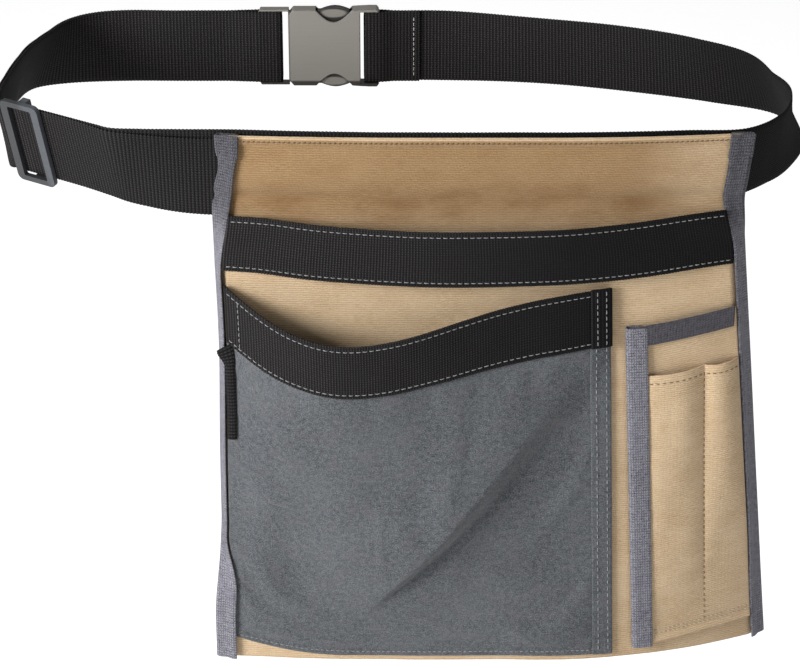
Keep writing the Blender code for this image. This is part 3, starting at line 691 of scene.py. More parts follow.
def pocket_place(u, z, depth):
    """A place on the pocket cloth, `depth` in front of it if negative."""
    x = lerp(inner_left(z) - SEAM_UNDER, pocket_right(z), u)
    bottom = pocket_bottom(x)
    z = np.maximum(z, bottom)
    mouth = mouth_height(u)
    below = np.clip((mouth - z) / (mouth - bottom), 0.0, 1.0)
    bulge = POCKET_BULGE * mouth_shape(u) * (1.0 - below) ** 1.3
    bulge = bulge + pocket_folds(u, below, x, z)
    clear = np.clip(4.0 * bulge / POCKET_BULGE, 0.0, 1.0)
    ground = lerp(canvas_front(x, z), bow(x, z), clear)
    place = stack(x, ground + depth - np.maximum(bulge, 0.0), z)
    if POCKET_SETTLED["offset"] is not None:
        place = place + cubic_sample(POCKET_SETTLED["offset"], u, below)
    return place


POCKET_FRONT = -GAP - CANVAS


def pocket_surface(u, v):
    top = mouth_height(u) - 1.0
    foot = lerp(inner_left(POCKET_BOTTOM), pocket_right(POCKET_BOTTOM), u)
    return pocket_place(u, lerp(top, pocket_bottom(foot), v), POCKET_FRONT)


POCKET_SLACK = 0.006
POCKET_MOVE = 1.6
RIM_SHARE = 0.17  # the stiff rim holds this much of the pocket's height


def settle_pocket():
    """Let the pocket cloth hang from its seams, with a little slack."""
    u, v = mesh_grid(44, 44)
    grid = pocket_surface(u, v)
    sides = np.maximum(bell(u / 0.03), bell((1.0 - u) / 0.05))
    ends = np.maximum(bell((1.0 - v) / 0.03), 0.9 * (v < RIM_SHARE))
    hold = np.clip(np.maximum(sides, ends), 0.02, 1.0)
    offset = drape(grid, hold, POCKET_SLACK, POCKET_MOVE)
    offset[..., 1] = np.minimum(offset[..., 1], 0.6)         # never back into the canvas
    offset[..., 2] *= 0.3                                    # nor far down past its seam
    POCKET_SETTLED["offset"] = offset * (1.0 - hold[..., None] ** 2)


DOUBLED = 12.5  # width of the doubled cloth along the pocket's right edge


def doubled_edge(top, bottom, past, depth):
    """Cloth turned under along the pocket's right edge, standing `past` its end."""
    def surface(u, v):
        z = lerp(top, bottom, v)
        width = DOUBLED / (pocket_right(z) - inner_left(z))
        return pocket_place(1.0 - width * (1.0 - u) + past, z, depth)
    return surface


def doubled_rows(surface, inner, outer, along):
    return [row_on(surface, 1.0 - inset / DOUBLED, along) for inset in (inner, outer)]


def main_pocket(grey, light):
    closed_sheet("pocket_main", pocket_surface(*mesh_grid(200, 200)), CANVAS, grey,
                 replaced=["main_pocket"])
    hem = doubled_edge(POCKET_TOP - RIM_HEIGHT - 1.0, POCKET_BOTTOM + 0.3, 0.001,
                       POCKET_FRONT - GAP - 0.9)
    closed_sheet("pocket_side_hem", hem(*mesh_grid(12, 200)), 0.9, grey)
    rows = doubled_rows(hem, 9.0, 2.6, np.linspace(0.0, 0.99, 400))
    stitches("stitches_pocket_side", rows, light, pitch=5.0,
             replaced=["seam_pocket_inner", "seam_pocket_outer"])
    row = row_on(pocket_surface, np.linspace(0.015, 0.97, 400), 0.987, 0.1)
    stitches("stitches_pocket_bottom", [row], light, pitch=3.4, length=2.2, radius=0.26)


def rim_surface(u, v):
    return pocket_place(u, mouth_height(u) - RIM_HEIGHT * v, POCKET_FRONT - GAP - WEBBING)


def pocket_rim(black, light):
    ribbed_sheet("pocket_rim", rim_surface, RIM_LENGTH, RIM_HEIGHT, black, "main_pocket_rim")
    along = np.linspace(0.006, 0.985, 400)
    inset = 2.9 / RIM_HEIGHT
    rows = [row_on(rim_surface, along, v, 0.15) for v in (inset, 1.0 - inset)]
    rows.append(row_on(rim_surface, 0.036, np.linspace(inset, 1.0 - inset, 60), 0.1))
    stitches("stitches_pocket_rim", rows, light)
    fold = doubled_edge(mouth_height(1.0) + 0.8, mouth_height(1.0) - RIM_HEIGHT - 0.5, 0.004,
                        POCKET_FRONT - 2.0 * (GAP + WEBBING))
    closed_sheet("pocket_rim_end", fold(*mesh_grid(12, 80)), 1.2, black)
    rows = doubled_rows(fold, 9.0, 3.4, np.linspace(0.02, 0.98, 80))
    stitches("stitches_rim_end", rows, light, pitch=4.4)


# --------- side pocket

def side_left(z):
    return SIDE_LEFT + SIDE_LEAN * (SIDE_TOP - z)


def side_top(x):
    return SIDE_TOP + SIDE_TOP_RISE * (x - SIDE_LEFT)


def side_bottom(x):
    return SIDE_BOTTOM + SIDE_BOTTOM_RISE * (x - SIDE_LEFT)


SIDE_FRONT = -TAPE - 2.0 * GAP - CANVAS
SLOT_FRONT = SIDE_FRONT - GAP - CANVAS


def side_surface(u, v):
    x = lerp(side_left(SIDE_TOP) + 1.3, inner_right(SIDE_TOP), u)
    z = lerp(side_top(x) - 1.3, side_bottom(x), v)
    x = lerp(side_left(z) + 1.3, inner_right(z) + SEAM_UNDER, u)
    return on_canvas(x, z, SIDE_FRONT - SIDE_TOP_SAG * arch(u) * bell(v / 0.12))


def divider(z):
    return DIVIDER_X + DIVIDER_LEAN * (SLOT_TOP - z)


def slot_surface(u, v):
    """Canvas over the side pocket, stitched down at the divider between two pen slots."""
    x = lerp(SIDE_LEFT + BINDING, inner_right(SLOT_TOP), u)
    z = lerp(SLOT_TOP + SLOT_TOP_RISE * (x - SIDE_LEFT - BINDING), side_bottom(x), v)
    first = u / SLOT_SHARE
    second = (u - SLOT_SHARE) / (1.0 - SLOT_SHARE)
    x = np.where(u < SLOT_SHARE, lerp(side_left(z) + BINDING - 1.0, divider(z), first),
                 lerp(divider(z), inner_right(z) + SEAM_UNDER, second))
    lobe = arch(np.where(u < SLOT_SHARE, first, second))
    bulge = SLOT_BULGE * lobe ** 0.8 * (1.0 - v) ** 1.2
    crease = 1.1 * ripple(x, z, 46.0, 61) + 0.3 * ripple(x, z, 17.0, 62)
    loose = lobe ** 0.5 * arch(v + 0.12) ** 0.5
    lip = 1.1 * ease((v - 0.972) / 0.02)
    slack = (0.9 + np.maximum(crease, -0.8)) * loose
    return on_canvas(x, z, SLOT_FRONT - bulge - lip - slack)


def side_pocket(tan, brown, sand):
    closed_sheet("pocket_side", side_surface(*mesh_grid(70, 170)), CANVAS, tan,
                 replaced=["side_pocket"])
    closed_sheet("pen_slot_cloth", slot_surface(*mesh_grid(81, 170)), CANVAS, tan,
                 replaced=["pen_slots"])
    row = row_on(slot_surface, SLOT_SHARE, np.linspace(0.02, 0.965, 300), 0.12)
    stitches("stitches_pen_divider", [row], brown, pitch=4.4, length=2.6,
             replaced=["seam_pen_divider"])
    rows = [row_on(slot_surface, np.linspace(start, end, 120), 0.027, 0.1)
            for start, end in ((0.02, 0.585), (0.615, 0.985))]
    stitches("stitches_pen_hem", rows, brown, pitch=4.0, length=2.4, radius=0.28)
    rows = [row_on(slot_surface, np.linspace(0.03, 0.985, 160), v, 0.1) for v in (0.968, 0.956)]
    stitches("stitches_side_bottom", rows, sand, pitch=3.2, length=2.3, radius=0.3)


def folded_tape(name, place, count, tape, replaced):
    """Tape folded over a pocket's free edge. place(t, inward, depth) gives points along it."""
    profile = folded_profile(SLOT_FRONT - GAP - TAPE, SIDE_FRONT + CANVAS + GAP, BINDING * 0.75,
                             7, 6, 5)
    t = np.linspace(0.0, 1.0, count)
    columns = []
    for k, (inward, depth) in enumerate(profile):
        wave = 0.2 * ripple(t * count * 0.6, 0.0 * t + k * 5.0, 15.0, 71)
        columns.append(place(t, inward + 0.4 * wave, depth + 0.3 * wave))
    closed_sheet(name, np.stack(columns), 0.7 * TAPE, tape, replaced=[replaced])


def side_tapes(tape, shaded_tape):
    def left_place(t, inward, depth):
        z = lerp(side_top(SIDE_LEFT) + 1.0, side_bottom(SIDE_LEFT) - 0.5, t)
        return on_canvas(side_left(z) + inward, z, depth)

    def top_place(t, inward, depth):
        x = lerp(side_left(SIDE_TOP) + 2.0, inner_right(SIDE_TOP) - 0.5, t)
        return on_canvas(x, side_top(x) - inward, depth - SIDE_TOP_SAG * np.sin(math.pi * t))

    # the top tape takes the copy of the tape material with painted shade
    folded_tape("side_tape_top", top_place, 120, shaded_tape, "side_pocket_binding_top")
    folded_tape("side_tape_left", left_place, 380, tape, "side_pocket_binding_left")


# --------- hanging loop

LOOP_TWIST = np.radians(38.0)
LOOP_RIB_PITCH = 2.2


def hanging_loop(black):
    """A short tab of tape, folded on itself and twisted where it is sewn in."""
    top = LOOP_HIGH.z
    bottom = LOOP_LOW.z
    middle = (LOOP_LOW + LOOP_HIGH) / 2.0
    v = np.linspace(0.0, 1.0, 160)[:, None]
    angle = np.linspace(0.0, FULL_TURN, 32, endpoint=False)[None, :]
    gather = 1.0 - ease(v / 0.22)
    end = np.sqrt(np.clip(1.0 - ((v - 0.965) / 0.035) ** 2 * (v > 0.965), 0.02, 1.0))
    half_width = (3.9 + 3.4 * gather) * (0.5 + 0.5 * end)
    half_depth = (2.3 - 1.0 * gather) * end
    notch = 1.0 - 0.28 * bell((np.abs(np.cos(angle)) - 1.0) / 0.12)
    ribbed = 1.0 + 0.03 * np.cos(FULL_TURN * v * (top - bottom) / LOOP_RIB_PITCH)
    a = half_width * np.cos(angle) * notch * ribbed
    b = half_depth * np.sin(angle) * ribbed
    twist = LOOP_TWIST * gather
    lean = 1.2 - 2.6 * gather + 0.8 * np.sin(2.4 * v)
    x = middle.x + lean + a * np.cos(twist) - b * np.sin(twist)
    y = middle.y + ORIGIN_DEPTH - 0.9 * gather + a * np.sin(twist) * 0.25 + b * np.cos(twist)
    z = lerp(top, bottom, v) + 0.35 * a * gather
    tube("hanging_loop_tab", stack(x, y, z), black, body="side_loop", replaced=["hanging_loop"])


# --------- waist belt

BACK_Y = 242.0
FRONT_Y = 5.5
PLY_OFFSET = 0.9
RUN_START = np.array((-229.5, 20.8))
RUN_END = np.array((-298.3, 69.0))
RUN_LEAN = 12.0
FEMALE_FOLD_X = -40.0
FEMALE_BAR = (-75.0, -67.0)
WRAP_BAR = (-143.0, -137.0)
BAR_THICK = 3.6
FOLD_CLEAR = 0.4
TAIL_END_X = -152.5
TAIL_DROOP = 5.5
SPREAD_OFFSET = 2.6  # the two plies part only beside the male half's bar
SPREAD_FROM = -176.0
SPREAD_TO = -152.0
GLIDE_SPLIT = 0.8  # share of the straight run where the pieces meet
STATION = RIB_PITCH / 4.0


def front_row(x, lean):
    return (x, float(bow(np.float64(x), np.float64(0.0))) + FRONT_Y + lean / 2.0, 0.0, lean)


def belt_rows():
    """The belt's middle line from above, and how its lower edge leans: x, y, lean x, lean y."""
    along = (RUN_END - RUN_START) / np.linalg.norm(RUN_END - RUN_START)
    lean = np.array((along[1], -along[0])) * RUN_LEAN
    settled = RUN_START + along * 8.0
    bend = RUN_END + along * 3.5
    front = ((157.0, 14.0), (120.0, 4.0), (80.0, 0.0), (FLAT_HALF, 0.0), (20.0, 0.0),
             (-20.0, 0.0), (-FLAT_HALF, 0.0), (-80.0, 0.0), (-120.0, 0.0), (-158.0, 1.0))
    return [
        (-58.0, BACK_Y, 0.0, 0.0), (-30.0, BACK_Y, 0.0, 0.0), (35.0, 232.0, 0.0, 8.0),
        (97.0, 214.5, 3.0, 9.0), (150.0, 190.0, 14.0, 8.0), (188.5, 160.0, 19.0, 12.0),
        (198.0, 125.0, 20.0, 18.0), (195.5, 84.0, 9.0, 22.0), (181.0, 47.0, 4.0, 22.0),
        *[front_row(x, row_lean) for x, row_lean in front],
        (-190.0, 12.3, 0.5, 3.5), (-210.0, 15.3, 3.0, 7.0),
        (*RUN_START, *lean), (*settled, *lean), (*RUN_END, *lean), (*bend, *lean),
        (-304.5, 87.0, 3.5, 10.0), (-306.0, 113.0, -2.0, 12.0), (-307.0, 150.0, -10.0, 13.0),
        (-304.5, 190.0, -17.0, 12.0), (-295.0, 217.0, -18.0, 8.0), (-279.0, 232.0, -10.0, 5.0),
        (-258.0, BACK_Y - 1.7, -3.0, 1.0),
        (-245.0, BACK_Y, 0.0, 0.0), (-205.0, BACK_Y, 0.0, 0.0), (-153.0, BACK_Y, 0.0, 0.0),
    ]


def spline(rows, spacing):
    """Smooth curve through rows of numbers, paced by the distance between their x, y."""
    rows = np.array(rows, float)
    size = np.linalg.norm(np.diff(rows[:, :2], axis=0), axis=1)
    slope = np.diff(rows, axis=0) / size[:, None]
    tangent = np.empty_like(rows)
    tangent[0] = slope[0]
    tangent[-1] = slope[-1]
    share = (size[1:] / (size[:-1] + size[1:]))[:, None]
    tangent[1:-1] = slope[:-1] * share + slope[1:] * (1.0 - share)
    curve = []
    for i, span in enumerate(size):
        t = np.arange(0.0, 1.0, spacing / span)[:, None]
        curve.append(rows[i] * (2.0 * t ** 3 - 3.0 * t ** 2 + 1.0)
                     + tangent[i] * span * (t ** 3 - 2.0 * t ** 2 + t)
                     + rows[i + 1] * (3.0 * t ** 2 - 2.0 * t ** 3)
                     + tangent[i + 1] * span * (t ** 3 - t ** 2))
    curve.append(rows[-1:])
    return np.concatenate(curve)


def spread(x):
    return lerp(PLY_OFFSET, SPREAD_OFFSET, ease((x - SPREAD_FROM) / (SPREAD_TO - SPREAD_FROM)))


def ply(curve, outer):
    """One ply of the belt beside the middle line; `outer` is the ply that comes back."""
    x = curve[:, 0]
    y = curve[:, 1]
    behind = y > BACK_Y / 2.0
    if outer:
        offset = np.where(behind, spread(x), PLY_OFFSET)
    else:
        single = PLY_OFFSET * ease(2.0 * y / BACK_Y)
        doubled = -PLY_OFFSET * ease((-60.0 - x) / 80.0)
        beside_buckle = np.where(x > -100.0, PLY_OFFSET, -spread(x))
        offset = np.where(behind, beside_buckle, np.where(x > 0.0, single, doubled))
    along = unit(np.gradient(curve[:, :2], axis=0))
    level_normals = np.stack([-along[:, 1], along[:, 0]], axis=1)
    line = curve.copy()
    line[:, :2] += level_normals * offset[:, None]
    return line


def bar_wrap(bar, toward, leg_end):
    """Webbing round a bar: in on the wearer's side, out on the far side."""
    radius = BAR_THICK / 2.0 + FOLD_CLEAR + WEBBING / 2.0
    face = max(bar) if toward > 0.0 else min(bar)
    angle = np.linspace(-math.pi / 2.0, math.pi / 2.0, 24)
    x = face - toward * 0.6 + toward * radius * np.cos(angle)
    x = np.concatenate([[leg_end], x, [leg_end]])
    y = np.concatenate([[-radius], radius * np.sin(angle), [radius]])
    return np.stack([x, BACK_Y + y, 0.0 * x, 0.0 * x], axis=1)


def webbing_piece(name, line, black, replaced, height=0.0, body="apron"):
    """Upright webbing along a line of x, y, lean x, lean y, with ribs."""
    length = travelled(line[:, :2])
    places = np.arange(0.0, length[-1], STATION)
    height = np.interp(places, length, np.broadcast_to(height, len(line)))
    line = np.stack([np.interp(places, length, column) for column in line.T], axis=1)
    along = stack(*unit(np.gradient(line[:, :2], axis=0)).T, 0.0)
    up = stack(-line[:, 2], -line[:, 3], 0.0).copy()
    up[:, 2] = np.sqrt(np.maximum(1.0, BELT_WIDTH ** 2 - (up ** 2).sum(axis=1)))
    up = unit(up - along * (up * along).sum(axis=1, keepdims=True))
    outward = np.cross(up, along)
    wave = ribs(places)
    across = np.linspace(0.5, -0.5, 15)
    slack = 0.12 * ripple(places, 0.0 * places, 60.0, 81)
    width = BELT_WIDTH - 2.0 * EDGE_NOTCH * (1.0 - wave) + slack
    edge = 1.0 - 0.25 * (np.abs(across) > 0.49)
    thick = (WEBBING + 2.0 * RIB_HEIGHT * wave)[:, None] * edge[None, :]
    centre = stack(line[:, 0], line[:, 1], height)
    inner = (centre[:, None] + up[:, None] * (across[None, :] * width[:, None])[..., None]
             - outward[:, None] * (thick / 2.0)[..., None])
    uv = np.stack(np.meshgrid(places, (0.5 - across) * BELT_WIDTH, indexing="ij"), axis=-1)
    return closed_sheet(name, inner, thick, black, uv=uv, body=body, replaced=[replaced])


def waist_belt(black, white):
    curve = spline(belt_rows(), 0.8)
    split_place = lerp(RUN_START, RUN_END, GLIDE_SPLIT)
    split = int(np.argmin(np.linalg.norm(curve[:, :2] - split_place, axis=1)))
    inner = ply(curve, False)
    outer = ply(curve, True)
    fold_y = BACK_Y - PLY_OFFSET
    flap = [(FEMALE_FOLD_X, fold_y, 0, 0), (-50.0, fold_y, 0, 0), (-58.0, BACK_Y - 1.2, 0, 0)]
    wrap = bar_wrap(FEMALE_BAR, -1.0, -66.5)
    lead = [(-58.0, BACK_Y + 1.2, 0, 0)]
    start = spline(np.concatenate([flap, wrap, lead]), 0.3)
    begin = int(np.argmax(inner[:, 0] > -53.0))
    main = np.concatenate([start, inner[begin:split + 1]])
    webbing_piece("belt_main", main, black, "waist_strap")

    fold = bar_wrap(WRAP_BAR, 1.0, -152.0)
    sleeve = np.concatenate([inner[split:-2], fold, outer[split:-2][::-1]])
    left = webbing_piece("belt_left_back", sleeve, black, "strap_fold_male", body=None)
    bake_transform(left)

    tail = outer[:split + 1][outer[:split + 1, 0] < TAIL_END_X]
    droop = -TAIL_DROOP * ease((tail[:, 0] + 262.0) / 95.0)
    webbing_piece("belt_tail", tail, black, "waist_strap_return", height=droop)

    z = np.linspace(21.5, -21.5, 40)
    proud = PLY_OFFSET + WEBBING / 2.0 + RIB_HEIGHT + 0.05
    rows = [(stack(FEMALE_FOLD_X - 3.6, BACK_Y + side * proud, z), stack(0.0 * z, side, 0.0))
            for side in (-1.0, 1.0)]
    stitches("stitches_belt_fold", rows, white, pitch=3.6, length=2.6, replaced=["seam_strap_fold"])


# --------- materials

class Value:
    """A number inside a node graph: its sums, differences and products become nodes."""

    def __init__(self, graph, socket):
        self.graph = graph
        self.socket = socket

    def __add__(self, other):
        return self.graph.math("ADD", self, other)

    def __sub__(self, other):
        return self.graph.math("SUBTRACT", self, other)

    def __rsub__(self, other):
        return self.graph.math("SUBTRACT", other, self)

    def __mul__(self, other):
        return self.graph.math("MULTIPLY", self, other)


class Graph:
    """The node graph of a material or a world, built a node at a time."""

    def __init__(self, owner, colour=WHITE):
        owner.use_nodes = True
        self.colour = colour
        self.owner = owner
        self.nodes = owner.node_tree.nodes
        self.links = owner.node_tree.links

    def feed(self, node, inputs):
        """Link or set a node's inputs."""
        for key, value in inputs.items():
            socket = node.inputs[key]
            if isinstance(value, Value):
                value = value.socket
            if isinstance(value, bpy.types.NodeSocket):
                self.links.new(value, socket)
            elif isinstance(value, tuple) and len(value) == 3 and socket.type == "RGBA":
                socket.default_value = (*value, 1.0)
            else:
                socket.default_value = value

    def node(self, kind, inputs=None, **settings):
        node = self.nodes.new("ShaderNode" + kind)
        for key, value in settings.items():
            setattr(node, key, value)
        self.feed(node, inputs or {})
        return node

    def value(self, node, output=0):
        return Value(self, node.outputs[output])

    def math(self, operation, a, b=0.0):
        return self.value(self.node("Math", {0: a, 1: b}, operation=operation))

    def vector(self, operation, a, b=(0.0, 0.0, 0.0)):
        return self.node("VectorMath", {0: a, 1: b}, operation=operation)

    def part(self, vector, axis):
        """One coordinate of a vector; axis 0, 1 or 2 is x, y or z."""
        return self.value(self.node("SeparateXYZ", {0: vector}), axis)

    def scaled(self, vector, scale):
        return self.node("Mapping", {"Vector": vector, "Scale": scale}).outputs[0]

    def place(self):
        return self.node("NewGeometry").outputs["Position"]

    def noise(self, vector, scale, detail=2.0, roughness=0.5):
        inputs = {"Vector": vector, "Scale": scale, "Detail": detail, "Roughness": roughness}
        return self.value(self.node("TexNoise", inputs), "Fac")

    def spread(self, value, low, high, **settings):
        """Stretch the part of value between low and high to 0..1."""
        inputs = {"Value": value, "From Min": low, "From Max": high}
        return self.value(self.node("MapRange", inputs, **settings), "Result")

    def paint(self, factor, colour, mode="MIX"):
        """Lay a colour over the colour so far; the factor is how much of it shows."""
        node = self.node("Mix", data_type="RGBA", blend_type=mode)
        self.feed(node, {0: factor, 6: self.colour, 7: colour})
        self.colour = node.outputs[2]

    def shade(self, factor, colour):
        self.paint(factor, colour, "MULTIPLY")

    def wave(self, value, pitch):
        """A smooth 0..1 wave of this pitch along a coordinate in mm."""
        return self.math("SINE", value * (FULL_TURN / pitch)) * 0.5 + 0.5

    def above(self, low, high, axis=2):
        """0 below one height in the frame, 1 above another, in mm; or along another axis."""
        return self.spread(self.part(self.place(), axis), low * MM, high * MM,
                           interpolation_type="SMOOTHSTEP")

    def camera_rays(self):
        """1 where the camera sees it directly, 0 where it only lights other things."""
        return self.value(self.node("LightPath"), "Is Camera Ray")

    def cloth_axes(self):
        """Coordinates along and across the cloth, in mm: both together, then each one."""
        uv = self.node("UVMap", uv_map="cloth").outputs[0]
        return uv, self.part(uv, 0), self.part(uv, 1)

    def finish(self, roughness, bump, depth, specular=0.5, sheen=0.0, sheen_spread=0.5):
        """Feed the surface, with its bump height and depth, and hand over the material."""
        relief = self.node("Bump", {"Height": bump, "Distance": depth, "Strength": 1.0})
        self.feed(self.nodes["Principled BSDF"], {
            "Base Color": self.colour, "Roughness": roughness, "Normal": relief.outputs[0],
            "Specular IOR Level": specular, "Sheen Weight": sheen,
            "Sheen Roughness": sheen_spread})
        return self.owner


def new_graph(name, colour=WHITE):
    return Graph(bpy.data.materials.new(name), colour)


def canvas_material(name, dark, light, tint, rib_pitch, rib_share):
    """Plain-weave canvas: weft ribs, warp threads, slubs and slow fading, with painted shade above
    the tool band and in the valley below the belt.
    """
    s = new_graph(name, dark)
    uv, u, v = s.cloth_axes()
    wobble = s.noise(uv, 0.35)
    weft = s.wave(v + wobble * 1.2, rib_pitch)
    warp = s.wave(u + wobble * 0.8, rib_pitch * 0.62)
    slub = s.noise(s.scaled(uv, (0.25, 1.6, 1.0)), 1.0, 3.0, 0.6)
    speckle = s.noise(uv, 1.1, 2.0, 0.7)
    slow = s.noise(uv, 0.018, 3.0, 0.55)
    flecks = s.spread(slub, 0.3, 0.7) * 0.30 + s.spread(speckle, 0.25, 0.75) * 0.30
    s.paint(weft * rib_share + warp * 0.10 + flecks, light)
    s.paint(s.spread(slow, 0.35, 0.7) * 0.5, tint)
    streaks = s.noise(s.scaled(uv, (0.03, 0.075, 1.0)), 1.0, 4.0, 0.6)
    smudge = s.spread(streaks, 0.42, 0.68)
    s.shade(smudge * 0.45, (0.80, 0.72, 0.62))
    # painted shade: how strongly the upper canvas and the valley are darkened, less towards the
    # right end
    shade_strength = 1.0 - s.above(80.0, 145.0, 0) * 0.7
    below_fold = 1.0 - s.above(PANEL_TOP - 1.6, PANEL_TOP - 0.3)
    # painted shade over the upper canvas, from above the tool band up to the hem
    upper = s.above(-52.0, -14.0) * (shade_strength * below_fold)
    s.shade(upper, (0.56, 0.475, 0.36))
    # painted shade in the valley below the belt, broken up by the smudges
    valley = s.above(-44.0, -24.0) * (1.0 - s.above(-22.0, 0.0)) * (smudge * 0.6 + 0.4)
    s.shade(valley * shade_strength, (0.76, 0.68, 0.58))
    height = weft * 0.6 + warp * 0.3 + speckle * 0.5
    return s.finish(0.9, height, 0.00022, 0.2, sheen=0.15, sheen_spread=0.6)


def heather_material(name, dark, light, fleck, pitch, shaded=1.0, twill=0.18):
    """Heathered cloth: fine flecks over a close weave; `shaded` dims its uppermost part."""
    s = new_graph(name, dark)
    uv, u, v = s.cloth_axes()
    rib = s.wave(v, pitch)
    cross = s.wave(u, pitch * 0.8)
    fine = s.noise(uv, 1.25, 2.0, 0.75)
    coarse = s.noise(uv, 0.32, 3.0, 0.6)
    slow = s.noise(uv, 0.02)
    warm = s.noise(uv, 0.075, 3.0, 0.65)
    flecks = s.spread(fine, 0.42, 0.62) * 0.55 + s.spread(coarse, 0.35, 0.66) * 0.27
    s.paint(flecks + rib * cross * twill, light)
    s.paint(s.spread(warm, 0.52, 0.75) * 0.45, fleck)
    s.paint(s.spread(slow, 0.35, 0.65) * 0.18, light)
    s.shade(s.above(-60.0, -10.0), (shaded, shaded, shaded))
    height = rib * 0.5 + cross * 0.25 + fine * 0.8
    return s.finish(0.92, height, 0.0002, 0.2, sheen=0.2)


def webbing_material(name, groove, rib, worn):
    """Ribbed webbing: lit rib tops, dark grooves, fine cross threads and a little wear.

    Painted shade makes it blacker towards the right of the apron and of the belt's front half.
    """
    s = new_graph(name, groove)
    uv, u, v = s.cloth_axes()
    ridge = s.wave(u + RIB_PITCH / 4.0, RIB_PITCH)
    half = s.wave(u, RIB_PITCH / 2.0)
    thread = s.wave(v + ridge * 0.6, 1.7)
    dots = (thread * 0.8 + 0.2) * (half * 0.5 + 0.5)
    fuzz = s.noise(uv, 1.6, 2.0, 0.7)
    slow = s.noise(uv, 0.03, 3.0, 0.6)
    top = ridge * (ridge * 0.5 + 0.5)
    shade = (top * 0.9 + 0.1) * (dots * 1.1 + 0.1) * (s.spread(fuzz, 0.3, 0.65) + 0.3)
    s.paint(shade, rib)
    s.paint(s.spread(slow, 0.5, 0.75) * 0.2, worn)
    # painted shade: darker towards the right of the apron and of the belt's front half, not on the
    # belt's back
    painted_shade_right = s.above(-70.0, 60.0, 0) * (1.0 - s.above(150.0, 220.0, 1))
    s.shade(painted_shade_right * 0.85, (0.30, 0.30, 0.34))
    return s.finish(0.7, dots * 0.8 + fuzz * 0.3, 0.00032, 0.14)


PAD_X = -98.8  # the prongs' finger pads, raised ovals with painted shade in the recess round them
PAD_INSET = 4.2
PAD_RATE = (1.0 / (9.0 * MM), 0.0, 1.0 / (2.9 * MM))
GLIDE_TILT = 0.28  # sideways lean of the tri-glide's bars
SHELL_FOOT = 3.4  # height of the female half's foot, which has painted shade


def in_node(name, place):
    """A place of the frame in a node's own coordinates."""
    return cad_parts[name].matrix_world.inverted() @ place


def pad_centre(name, side):
    """Middle of a prong's finger pad; side is 1 for the upper prong and -1 for the lower."""
    low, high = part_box(name)
    edge = low.z if side < 0.0 else high.z
    return in_node(name, Vector((PAD_X * MM, low.y, edge - side * PAD_INSET * MM)))


def plastic_material(name, base, worn, edge, grain, foot=None, pad=None, shaded_glide_middle=None):
    """Satin moulded plastic: fine texture, slow gloss changes, and painted shade on rounded
    corners, in crevices and on faces turned down.

    `foot` is a height below which it has painted shade, `pad` the middle of a finger pad with
    painted shade in the recess round it, and the tri-glide's middle, when given, puts painted shade
    on its outer bar.
    """
    # `edge` is the colour of all the painted shade in this material
    s = new_graph(name, base)
    place = s.place()
    fine = s.noise(place, 2600.0, 2.0, 0.6)
    lines = s.noise(s.scaled(place, (30.0, 30.0, 900.0)), 1.0, 3.0, 0.7)
    slow = s.noise(place, 60.0, 3.0, 0.6)
    rounded = s.node("Bevel", {"Radius": 1.1 * MM}, samples=6).outputs[0]
    flat = s.node("NewGeometry").outputs["True Normal"]
    # painted shade on rounded corners, where the surface turns away
    corner = s.spread(s.value(s.vector("DOT_PRODUCT", rounded, flat), "Value"), 0.985, 0.86)
    s.paint(s.spread(lines, 0.3, 0.7) * grain, worn)
    s.paint(corner * 0.85, edge)
    # painted shade in crevices, from ambient occlusion
    open_sky = s.value(s.node("AmbientOcclusion", {"Distance": 4.0 * MM}, samples=8), "AO")
    s.paint(s.spread(open_sky, 0.8, 0.35), edge)
    # painted shade on faces turned down
    s.paint(s.spread(s.part(flat, 2), -0.15, -0.5) * 0.9, edge)
    inside = s.node("TexCoord").outputs["Object"]
    # painted shade in the recess round the finger pad
    if pad is not None:
        offset = s.vector("SUBTRACT", inside, tuple(pad)).outputs[0]
        offset = s.vector("MULTIPLY", offset, PAD_RATE).outputs[0]
        reach = s.value(s.vector("LENGTH", offset), "Value")
        s.paint(s.spread(reach, 0.85, 1.15) * 0.92, edge)
    # painted shade on the female half's foot
    if foot is not None:
        s.paint((1.0 - s.above(foot, foot + 1.6)) * 0.9, edge)
    # painted shade on the tri-glide's outer bar
    if shaded_glide_middle is not None:
        tilted = (s.part(inside, 0) - shaded_glide_middle.x) + (s.part(inside, 2) - shaded_glide_middle.z) * GLIDE_TILT
        s.paint(s.spread(tilted, 7.0 * MM, 2.0 * MM) * 0.75, edge)
    return s.finish(slow * 0.22 + 0.3, fine * 0.5 + lines * 0.5, 0.00003)


def thread_material(name, dark, light):
    """Twisted sewing thread: slanted light and dark turns."""
    s = new_graph(name, dark)
    place = s.place()
    turns = s.wave((s.part(place, 0) + s.part(place, 2)) * (1.0 / MM), 0.55)
    soft = s.noise(place, 900.0)
    s.paint(turns * 0.6 + soft * 0.4, light)
    return s.finish(0.7, turns, 0.00012, sheen=0.1)


def dress_cad_node(name, material):
    """A procedural material and moulded, rounded corners for a part kept from the frame."""
    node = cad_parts[name]
    node.data.materials.clear()
    node.data.materials.append(material)
    corners = node.modifiers.new("rounded", "BEVEL")
    corners.width = 0.45 * MM
    corners.segments = 3
    corners.limit_method = "ANGLE"
    corners.angle_limit = math.radians(35.0)


